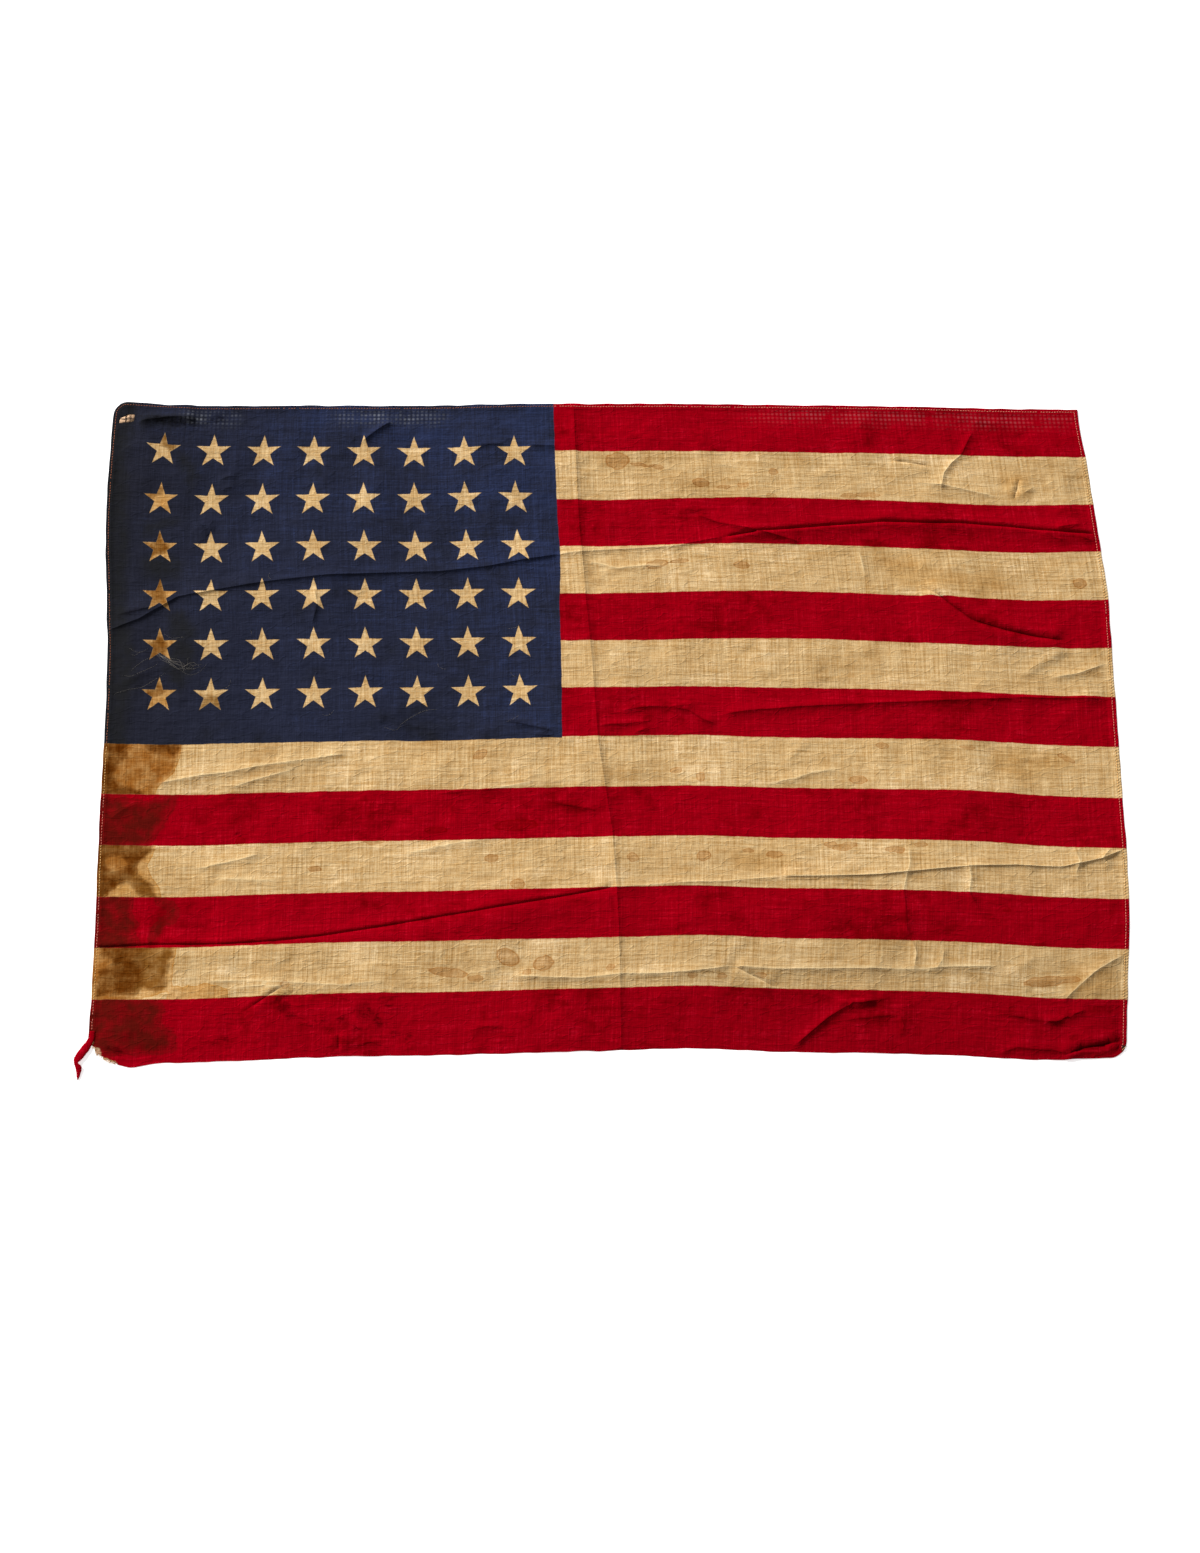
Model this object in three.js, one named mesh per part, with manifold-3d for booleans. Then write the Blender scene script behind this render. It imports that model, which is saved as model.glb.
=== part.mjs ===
// A worn printed cotton flag, laid out flat on a table: one thin sheet of cloth with
// soft storage folds, a hoist corner that has torn away and a strip of hem hanging from it.
// Millimetres, +Z up, +X along the fly, +Y towards the top edge.

import * as THREE from 'three';
import { mergeVertices } from 'three/addons/utils/BufferGeometryUtils.js';
import Module from 'manifold-3d';

// The cloth as cut and hemmed.
const FLY = 914;
const HOIST = 610;
const THICKNESS = 1.2;

// How far the worn edges stray from the cut rectangle, at even steps along each edge.
// Top and bottom run from hoist to fly; the two ends run from bottom to top.
const TOP_STRAY = [4, 0, 0, 0, 0, 2, 2, 2, 1, 0, -1, -3, -4];
const BOTTOM_STRAY = [-9, -8, -5, -2, -1, 1, 3, 5, 2, 1, -1, -5, -3];
const HOIST_STRAY = [3, 4, 4, 3, 3, 3, 2, -2, -6, -6, -4];
const FLY_STRAY = [-6, -2, 3, 4, 3, 2, 1, 0, -6, -12, -19];

// The three folds that cross the whole cloth, each a line through a few points that lines of
// the grid follow. A ridge stands up on its line. A trough touches the table on its line, with a
// soft swell on either side.
const STORAGE_FOLD = {
  crest: [[0, 470], [80, 465], [200, 457], [285, 445], [415, 437], [610, 436]],
  height: 3.0,
};
const UPPER_FOLD = {
  crest: [[0, 396], [70, 428], [150, 441], [380, 452], [565, 487], [760, 497], [914, 500]],
  height: 3.2,
};
const LOWER_FOLD = {
  crest: [[0, 98], [100, 102], [200, 107], [300, 122], [460, 146], [600, 155], [755, 165], [914, 186]],
  height: 2.4,
};
const FOLD_HALF_WIDTH = 16;

// Shorter creases: where each starts and ends on the cloth, and how high it stands.
const CREASES = [
  { from: [515, 500], to: [655, 474], height: 2.2 },
  { from: [740, 435], to: [875, 382], height: 2.0 },
  { from: [470, 298], to: [765, 323], height: 1.6 },
  { from: [765, 323], to: [900, 327], height: 1.4 },
  { from: [60, 253], to: [250, 274], height: 1.6 },
  { from: [75, 167], to: [150, 190], height: 1.4 },
  { from: [400, 66], to: [800, 82], height: 1.8 },
  { from: [628, 14], to: [686, 48], height: 2.0 },
  { from: [713, 188], to: [714, 98], height: 1.4 },
  { from: [782, 566], to: [798, 528], height: 1.8 },
  { from: [828, 346], to: [896, 366], height: 1.6 },
  { from: [846, 36], to: [896, 52], height: 1.8 },
  { from: [20, 394], to: [52, 414], height: 1.8 },
  { from: [40, 590], to: [90, 598], height: 1.8 },
];
const CREASE_HALF_WIDTH = 17;

// Grid of the sheet: cells beside a fold are narrow, the rest share what is left.
const CELLS_BEFORE_STORAGE_FOLD = 26;
const CELLS_AFTER_STORAGE_FOLD = 26;
const CELLS_BELOW_LOWER_FOLD = 6;
const CELLS_BETWEEN_FOLDS = 18;
const CELLS_ABOVE_UPPER_FOLD = 7;

// The hoist corner at the bottom, in the same plane as the cut rectangle.
const TORN_EDGE = [[3, 12], [9, 6], [12, 0], [18, -4], [23, -6], [29, -8], [32, -14]];
const TURNED_FLAP = [[26, -2], [29, -8], [32, -11], [36, -12], [42, -11], [55, -8], [60, -2]];
const HEM_STRIP = [
  [4, 20], [4, 12], [-0.5, 6], [-7, -3], [-8, -6], [-5, -11], [-5, -17], [-4, -23],
  [-2, -20], [-0.5, -15], [0, -10], [3, -6], [5, -0.5], [8.5, 2], [9, 6], [8, 20],
];
const CUTTER_REACH = 40;
const ARC_STEPS = 6;

// The two outer corners that wear has rounded, by the place on the cut cloth.
const ROUNDED_CORNERS = [
  { a: FLY, b: 0, radius: 14 },
  { a: 0, b: HOIST, radius: 8 },
];

/** A smooth value between even stations, by a Catmull-Rom curve. */
function alongStations(stations, fraction) {
  const last = stations.length - 1;
  const place = THREE.MathUtils.clamp(fraction, 0, 1) * last;
  const index = Math.min(Math.floor(place), last - 1);
  const w = place - index;
  const before = stations[Math.max(index - 1, 0)];
  const here = stations[index];
  const next = stations[index + 1];
  const after = stations[Math.min(index + 2, last)];
  const slopeHere = (next - before) / 2;
  const slopeNext = (after - here) / 2;
  const smooth = w * w * (3 - 2 * w);
  return here + (next - here) * smooth + slopeHere * w * (1 - w) ** 2 - slopeNext * w * w * (1 - w);
}

/** The crest of a fold at one place across it, straight between its points. */
function crestAt(fold, place) {
  const points = fold.crest;
  let k = 1;
  while (k < points.length - 1 && place > points[k][0]) k += 1;
  const [start, low] = points[k - 1];
  const [end, high] = points[k];
  return THREE.MathUtils.mapLinear(place, start, end, low, high);
}

/** A soft ridge: 1 on the crest, 0 from the half width on, with no corner at either. */
function ridge(distance, halfWidth) {
  const x = Math.min(Math.abs(distance) / halfWidth, 1);
  return 0.5 + 0.5 * Math.cos(Math.PI * x);
}

/** How high the cloth stands off the table at a place on the cut cloth. */
function lift(a, b) {
  const fromLowerFold = Math.abs(b - crestAt(LOWER_FOLD, a));
  let height = Math.max(
    STORAGE_FOLD.height * ridge(a - crestAt(STORAGE_FOLD, b), FOLD_HALF_WIDTH),
    UPPER_FOLD.height * ridge(b - crestAt(UPPER_FOLD, a), FOLD_HALF_WIDTH),
    LOWER_FOLD.height * ridge(fromLowerFold - FOLD_HALF_WIDTH, FOLD_HALF_WIDTH),
  );
  const place = new THREE.Vector3(a, b, 0);
  const nearest = new THREE.Vector3();
  for (const crease of CREASES) {
    const line = new THREE.Line3(
      new THREE.Vector3(...crease.from, 0),
      new THREE.Vector3(...crease.to, 0),
    );
    line.closestPointToPoint(place, true, nearest);
    height = Math.max(height, crease.height * ridge(nearest.distanceTo(place), CREASE_HALF_WIDTH));
  }
  return height;
}

/** A place on the cut cloth, moved to where the worn cloth lies. */
function laid(a, b) {
  const s = a / FLY;
  const t = b / HOIST;
  const x = a + (1 - s) * alongStations(HOIST_STRAY, t) + s * alongStations(FLY_STRAY, t);
  const y = b + (1 - t) * alongStations(BOTTOM_STRAY, s) + t * alongStations(TOP_STRAY, s);
  return [x, y];
}

/** Stations from 0 to the full length, with four narrow cells across each crest. */
function gridLines(length, crests, cellCounts) {
  const stations = [0];
  let start = 0;
  cellCounts.forEach((count, k) => {
    const atCrest = k < crests.length;
    const end = atCrest ? crests[k] - FOLD_HALF_WIDTH : length;
    for (let i = 1; i <= count; i += 1) stations.push(start + ((end - start) * i) / count);
    if (atCrest) {
      for (const part of [-0.5, 0, 0.5, 1]) stations.push(crests[k] + part * FOLD_HALF_WIDTH);
      start = crests[k] + FOLD_HALF_WIDTH;
    }
  });
  return stations;
}

/** The laid sheet, closed round its rim. */
function sheetGeometry() {
  const columnCells = [CELLS_BEFORE_STORAGE_FOLD, CELLS_AFTER_STORAGE_FOLD];
  const rowCells = [CELLS_BELOW_LOWER_FOLD, CELLS_BETWEEN_FOLDS, CELLS_ABOVE_UPPER_FOLD];
  const columns = gridLines(FLY, [crestAt(STORAGE_FOLD, HOIST / 2)], columnCells).length;
  const rows = gridLines(HOIST, [crestAt(LOWER_FOLD, 0), crestAt(UPPER_FOLD, 0)], rowCells).length;
  const position = [];
  for (let layer = 0; layer < 2; layer += 1) {
    for (let j = 0; j < rows; j += 1) {
      for (let i = 0; i < columns; i += 1) {
        let a = (FLY * i) / (columns - 1);
        let b = (HOIST * j) / (rows - 1);
        for (let pass = 0; pass < 3; pass += 1) {
          a = gridLines(FLY, [crestAt(STORAGE_FOLD, b)], columnCells)[i];
          b = gridLines(HOIST, [crestAt(LOWER_FOLD, a), crestAt(UPPER_FOLD, a)], rowCells)[j];
        }
        position.push(...laid(a, b), lift(a, b) + layer * THICKNESS);
      }
    }
  }
  const at = (i, j, layer) => layer * columns * rows + j * columns + i;
  const index = [];
  const quad = (p, q, r, s) => index.push(p, q, r, p, r, s);
  for (let j = 0; j < rows - 1; j += 1) {
    for (let i = 0; i < columns - 1; i += 1) {
      quad(at(i, j, 1), at(i + 1, j, 1), at(i + 1, j + 1, 1), at(i, j + 1, 1));
      quad(at(i, j, 0), at(i, j + 1, 0), at(i + 1, j + 1, 0), at(i + 1, j, 0));
    }
  }
  for (let i = 0; i < columns - 1; i += 1) {
    quad(at(i, 0, 0), at(i + 1, 0, 0), at(i + 1, 0, 1), at(i, 0, 1));
    quad(at(i + 1, rows - 1, 0), at(i, rows - 1, 0), at(i, rows - 1, 1), at(i + 1, rows - 1, 1));
  }
  for (let j = 0; j < rows - 1; j += 1) {
    quad(at(0, j + 1, 0), at(0, j, 0), at(0, j, 1), at(0, j + 1, 1));
    quad(at(columns - 1, j, 0), at(columns - 1, j + 1, 0), at(columns - 1, j + 1, 1), at(columns - 1, j, 1));
  }
  const geometry = new THREE.BufferGeometry();
  geometry.setAttribute('position', new THREE.Float32BufferAttribute(position, 3));
  geometry.setIndex(index);
  return geometry;
}

/** A flat piece of cloth, or a cutter, from its outline. */
function slab(outline, bottom, top) {
  const shape = new THREE.Shape(outline.map(([x, y]) => new THREE.Vector2(x, y)));
  const geometry = new THREE.ExtrudeGeometry(shape, { depth: top - bottom, bevelEnabled: false });
  geometry.translate(0, 0, bottom);
  return geometry;
}

/** What a rounded corner cuts away: the ground outside an arc that touches both edges. */
function cornerWaste(corner) {
  const [x, y] = laid(corner.a, corner.b);
  const outX = corner.a > FLY / 2 ? 1 : -1;
  const outY = corner.b > HOIST / 2 ? 1 : -1;
  const r = corner.radius;
  const outline = [[x + outX * r, y - outY * r], [x + outX * r, y + outY * r], [x - outX * r, y + outY * r]];
  for (let k = 0; k <= ARC_STEPS; k += 1) {
    const angle = (Math.PI / 2) * (1 - k / ARC_STEPS);
    outline.push([x - outX * r * (1 - Math.cos(angle)), y - outY * r * (1 - Math.sin(angle))]);
  }
  return slab(outline, -CUTTER_REACH, CUTTER_REACH);
}

const wasm = await Module();
wasm.setup();

/** A closed mesh as a solid that can be joined and cut. */
function solidOf(geometry) {
  const bare = new THREE.BufferGeometry();
  bare.setAttribute('position', geometry.getAttribute('position').clone());
  if (geometry.index) bare.setIndex(geometry.index.clone());
  const merged = mergeVertices(bare, 1e-4);
  const vertProperties = new Float32Array(merged.getAttribute('position').array);
  const triVerts = new Uint32Array(merged.index.array);
  return new wasm.Manifold(new wasm.Mesh({ numProp: 3, vertProperties, triVerts }));
}

/** A solid as a geometry again. */
function geometryOf(solid) {
  const mesh = solid.getMesh();
  const geometry = new THREE.BufferGeometry();
  geometry.setAttribute('position', new THREE.Float32BufferAttribute(mesh.vertProperties, 3));
  geometry.setIndex(Array.from(mesh.triVerts));
  geometry.computeVertexNormals();
  return geometry;
}

// The sheet loses its bottom hoist corner along the torn edge, and keeps the turned flap
// and the strip of hem: all one cloth.
const missingCorner = [
  ...TORN_EDGE,
  [32, -CUTTER_REACH], [-CUTTER_REACH, -CUTTER_REACH], [-CUTTER_REACH, 12],
];
const wornCorners = ROUNDED_CORNERS.map((corner) => solidOf(cornerWaste(corner)));
const cloth = solidOf(sheetGeometry())
  .subtract(solidOf(slab(missingCorner, -CUTTER_REACH, CUTTER_REACH)))
  .subtract(wornCorners[0])
  .subtract(wornCorners[1])
  .add(solidOf(slab(TURNED_FLAP, 0, THICKNESS)))
  .add(solidOf(slab(HEM_STRIP, 0, THICKNESS)));

const geometry = geometryOf(cloth);
geometry.computeBoundingBox();
const middle = geometry.boundingBox.getCenter(new THREE.Vector3());

const material = new THREE.MeshStandardMaterial({ color: 0xa8182a, roughness: 0.9, metalness: 0 });
const flag = new THREE.Mesh(geometry, material);
flag.name = 'flag_cloth';
flag.position.set(-middle.x, -middle.y, 0);

const group = new THREE.Group();
group.add(flag);

export default group;
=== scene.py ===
"""Dresses a worn printed cotton flag, laid out flat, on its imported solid."""

import logging
import math
from dataclasses import dataclass, field
from enum import Enum
from typing import Any, Iterable, Sequence

import bpy
import numpy as np
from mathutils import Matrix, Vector


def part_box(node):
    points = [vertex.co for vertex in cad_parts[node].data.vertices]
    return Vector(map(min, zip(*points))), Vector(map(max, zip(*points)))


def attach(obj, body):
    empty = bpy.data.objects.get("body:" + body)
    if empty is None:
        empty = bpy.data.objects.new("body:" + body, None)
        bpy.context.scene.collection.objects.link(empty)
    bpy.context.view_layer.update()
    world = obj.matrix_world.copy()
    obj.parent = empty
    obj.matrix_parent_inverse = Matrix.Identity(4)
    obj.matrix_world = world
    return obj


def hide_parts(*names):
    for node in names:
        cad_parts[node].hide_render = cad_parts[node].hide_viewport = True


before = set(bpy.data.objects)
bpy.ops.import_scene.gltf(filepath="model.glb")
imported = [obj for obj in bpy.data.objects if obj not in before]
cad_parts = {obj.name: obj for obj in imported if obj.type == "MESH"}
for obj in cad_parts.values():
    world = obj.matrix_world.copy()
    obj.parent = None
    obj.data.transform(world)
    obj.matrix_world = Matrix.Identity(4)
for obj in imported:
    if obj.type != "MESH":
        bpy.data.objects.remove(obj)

LOG = logging.getLogger("flag")
MM = 0.001
CLOTH_PLACE = "cloth_mm"
# Vertex attribute for the crease lines: painted shade and dirt on the dyes, a painted highlight on
# bare cloth.
CREASE_DIRT_AND_SHADING = "crease_soil"
STAIN_NAME = "stain_{}"
BAKE_MAP = "OFBake"
LEAST_HEIGHT = 0.03
TUBE_CLIMB = 0.5

Array = np.ndarray
Pair = tuple[float, float]
Colour = tuple[float, float, float, float]


def along_stations(stations: Sequence[float], fraction: Array) -> Array:
    """A smooth value between even stations.

    Args:
        stations: values at even steps.
        fraction: place along them, 0 to 1.

    Returns:
        The value at each place, on a curve through every station.
    """
    values = np.asarray(stations, float)
    last = len(values) - 1
    place = np.clip(fraction, 0.0, 1.0) * last
    index = np.minimum(np.floor(place).astype(int), last - 1)
    w = place - index
    before = values[np.maximum(index - 1, 0)]
    here = values[index]
    after_here = values[index + 1]
    after = values[np.minimum(index + 2, last)]
    smooth = w * w * (3 - 2 * w)
    return (
        here
        + (after_here - here) * smooth
        + (after_here - before) / 2 * w * (1 - w) ** 2
        - (after - here) / 2 * w * w * (1 - w)
    )


def soft_step(low: float, high: float, value: Array) -> Array:
    """0 below low, 1 above high, with a soft turn at both.

    Args:
        low: where it starts.
        high: where it ends.
        value: the values to look up.

    Returns:
        The step at each value.
    """
    x = np.clip((value - low) / (high - low), 0.0, 1.0)
    return x * x * (3 - 2 * x)


def inside_outline(outline: Sequence[Pair], x: Array, y: Array) -> Array:
    """True for each point inside the outline.

    Args:
        outline: its corners, in order.
        x: the first number of each point.
        y: the second number of each point.

    Returns:
        One True or False for each point.
    """
    points = np.asarray(outline, float)
    inside = np.zeros(x.shape, bool)
    for (x0, y0), (x1, y1) in zip(points, np.roll(points, -1, axis=0)):
        crosses = (y0 > y) != (y1 > y)
        meet = (x1 - x0) * (y - y0) / (y1 - y0 + 1e-12) + x0
        inside ^= crosses & (x < meet)
    return inside


def from_line(x: Any, y: Any, start: Array, end: Array) -> tuple[Any, Any, Any]:
    """How places lie from a straight line between two points.

    Args:
        x: the first number of each place.
        y: the second number of each place.
        start: where the line starts.
        end: where it ends.

    Returns:
        How far along the line the nearest point is, as a share, and how far each
        place is from that point in both directions.
    """
    step = end - start
    share = ((x - start[0]) * step[0] + (y - start[1]) * step[1]) / np.hypot(*step) ** 2
    share = np.clip(share, 0, 1)
    return share, x - start[0] - share * step[0], y - start[1] - share * step[1]


@dataclass(frozen=True)
class ClothPlan:
    """The cut of the cloth, in millimetres, and where the worn sheet lies.

    a runs from the hoist to the fly end and b from the bottom edge to the top.
    """

    fly: float = 914.0
    hoist: float = 610.0
    top_stray: tuple[float, ...] = (4, 0, 0, 0, 0, 2, 2, 2, 1, 0, -1, -3, -4)
    bottom_stray: tuple[float, ...] = (-9, -8, -5, -2, -1, 1, 3, 5, 2, 1, -1, -5, -3)
    hoist_stray: tuple[float, ...] = (3, 4, 4, 3, 3, 3, 2, -2, -6, -6, -4)
    fly_stray: tuple[float, ...] = (-6, -2, 3, 4, 3, 2, 1, 0, -6, -12, -19)
    hoist_corner_radius: float = 13.0
    fly_corner_radius: float = 15.0
    flap_at: float = 39
    flap_width: float = 10
    flap_depth: float = 9
    flap_drop: float = 3.0
    tail_reach: Pair = (-8.0, -23.0)

    def rounded(self, a: Array, b: Array) -> tuple[Array, Array]:
        """Draws the two worn corners in, so that the hem runs round them.

        Args:
            a: places along the fly.
            b: places up the hoist.

        Returns:
            The places, moved.
        """
        for radius, far_a, far_b in (
            (self.hoist_corner_radius, 0.0, self.hoist),
            (self.fly_corner_radius, self.fly, 0.0),
        ):
            turn_a = 1.0 if far_a > 0 else -1.0
            turn_b = 1.0 if far_b > 0 else -1.0
            p = turn_a * (a - far_a) + radius
            q = turn_b * (b - far_b) + radius
            inside = (p > 0) & (q > 0)
            square = np.maximum(p, q)
            length = np.hypot(p, q) + 1e-9
            share = np.where(inside, square / length, 1.0)
            a = np.where(inside, far_a + turn_a * (p * share - radius), a)
            b = np.where(inside, far_b + turn_b * (q * share - radius), b)
        return a, b

    def laid(self, a: Array, b: Array) -> tuple[Array, Array]:
        """Where a place on the cut cloth lies on the table.

        Args:
            a: places along the fly.
            b: places up the hoist.

        Returns:
            Where they lie, in laid millimetres.
        """
        a, b = self.rounded(a, b)
        s, t = a / self.fly, b / self.hoist
        x = a + (1 - s) * along_stations(self.hoist_stray, t)
        x = x + s * along_stations(self.fly_stray, t)
        y = b + (1 - t) * along_stations(self.bottom_stray, s)
        y = y + t * along_stations(self.top_stray, s)
        flap = np.exp(-(((a - self.flap_at) / self.flap_width) ** 2))
        flap = flap * np.exp(-np.maximum(b, 0) / self.flap_depth)
        return x, y - self.flap_drop * flap

    def in_frame(self, x: Array, y: Array, z: Array) -> Array:
        """Laid millimetres as metres in the row frame, one row for each point.

        Args:
            x: laid places along the fly.
            y: laid places up the hoist.
            z: heights over the table.

        Returns:
            Points in metres.
        """
        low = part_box("flag_cloth")[0]
        left, bottom = self.tail_reach
        return np.stack([(x - left) * MM + low.x, (y - bottom) * MM + low.y, z * MM], -1)


class FoldKind(Enum):
    """How the cloth goes over a crease."""

    RIDGE = "stands up on its line"
    TROUGH = "low on its line, with a swell on either side"


@dataclass(frozen=True)
class Fold:
    """A crease pressed into the cloth.

    line holds places (a, b) in millimetres. left and right are the widths of the
    flanks on either side of somebody who walks along it.
    """

    line: tuple[Pair, ...]
    height: float
    left: float = 6.0
    right: float = 6.0
    kind: FoldKind = FoldKind.RIDGE
    fade: float = 18.0
    crisp: bool = True
    # How strongly the crease line is painted: painted shade and dirt on the dyes, a painted highlight
    # on bare cloth.
    soil: float = 0.75

    def lift(self, a: Array, b: Array) -> Array:
        """How far the crease lifts the cloth at each place.

        Args:
            a: places along the fly.
            b: places up the hoist.

        Returns:
            The lift in millimetres.
        """
        points = np.asarray(self.line, float)
        reach = 7 * max(self.left, self.right)
        low, high = points.min(0) - reach, points.max(0) + reach
        near = (a > low[0]) & (a < high[0]) & (b > low[1]) & (b < high[1])
        lifted = np.zeros_like(a)
        if not near.any():
            return lifted
        pa, pb = a[near], b[near]
        best = np.full(pa.shape, 1e9)
        side = np.ones_like(pa)
        run = np.zeros_like(pa)
        walked = 0.0
        for start, end in zip(points[:-1], points[1:]):
            step = end - start
            length = float(np.hypot(*step))
            share, da, db = from_line(pa, pb, start, end)
            distance = np.hypot(da, db)
            closer = distance < best
            best = np.where(closer, distance, best)
            side = np.where(closer, np.sign(step[0] * db - step[1] * da), side)
            run = np.where(closer, walked + share * length, run)
            walked += length
        width = np.where(side > 0, self.left, self.right)
        if self.kind is FoldKind.RIDGE:
            shape = np.exp(-best / width)
        else:
            shape = best / width * np.exp(1 - best / width)
        fade = min(self.fade, walked / 3)
        ends = soft_step(0, fade, run) * soft_step(0, fade, walked - run)
        lifted[near] = self.height * shape * ends
        return lifted


@dataclass(frozen=True)
class Crumple:
    """Soft unevenness of used cloth, as waves that run in every direction."""

    shortest: float
    longest: float
    height: float
    seed: int
    waves: int = 36

    def lift(self, a: Array, b: Array) -> Array:
        """The height of the unevenness at each place, on either side of nought.

        Args:
            a: places along the fly.
            b: places up the hoist.

        Returns:
            The height in millimetres.
        """
        chance = np.random.default_rng(self.seed)
        total = np.zeros_like(a)
        for _ in range(self.waves):
            length = chance.uniform(self.shortest, self.longest)
            angle = chance.uniform(0, 2 * math.pi)
            phase = chance.uniform(0, 2 * math.pi)
            k = 2 * math.pi / length
            total += np.sin(k * (a * math.cos(angle) + b * math.sin(angle)) + phase)
        return total * self.height / math.sqrt(self.waves / 2)


STORAGE_FOLD = ((470, 0), (465, 80), (457, 199), (445, 283), (437, 416), (436, 610))
UPPER_HOIST_FOLD = (
    (0, 389), (29, 401), (48, 413), (64, 423), (102, 430), (140, 436), (194, 442),
    (263, 445), (305, 446), (350, 450), (380, 455), (414, 460),
)
UPPER_FLY_FOLD = (
    (414, 460), (449, 464), (477, 465), (525, 468), (567, 477), (605, 484), (640, 488),
    (684, 492), (718, 495), (759, 494), (793, 495), (834, 493), (881, 488), (914, 486),
)
LOWER_FOLD = (
    (0, 101), (52, 104), (118, 103), (157, 104), (196, 107), (248, 114), (304, 123),
    (334, 127), (400, 137), (457, 146), (498, 148), (558, 151), (606, 157), (655, 158),
    (694, 160), (737, 165), (777, 170), (816, 173), (856, 172), (892, 179), (914, 188),
)
UPPER_FOLD = UPPER_HOIST_FOLD + UPPER_FLY_FOLD[1:]
T = FoldKind.TROUGH

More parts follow.
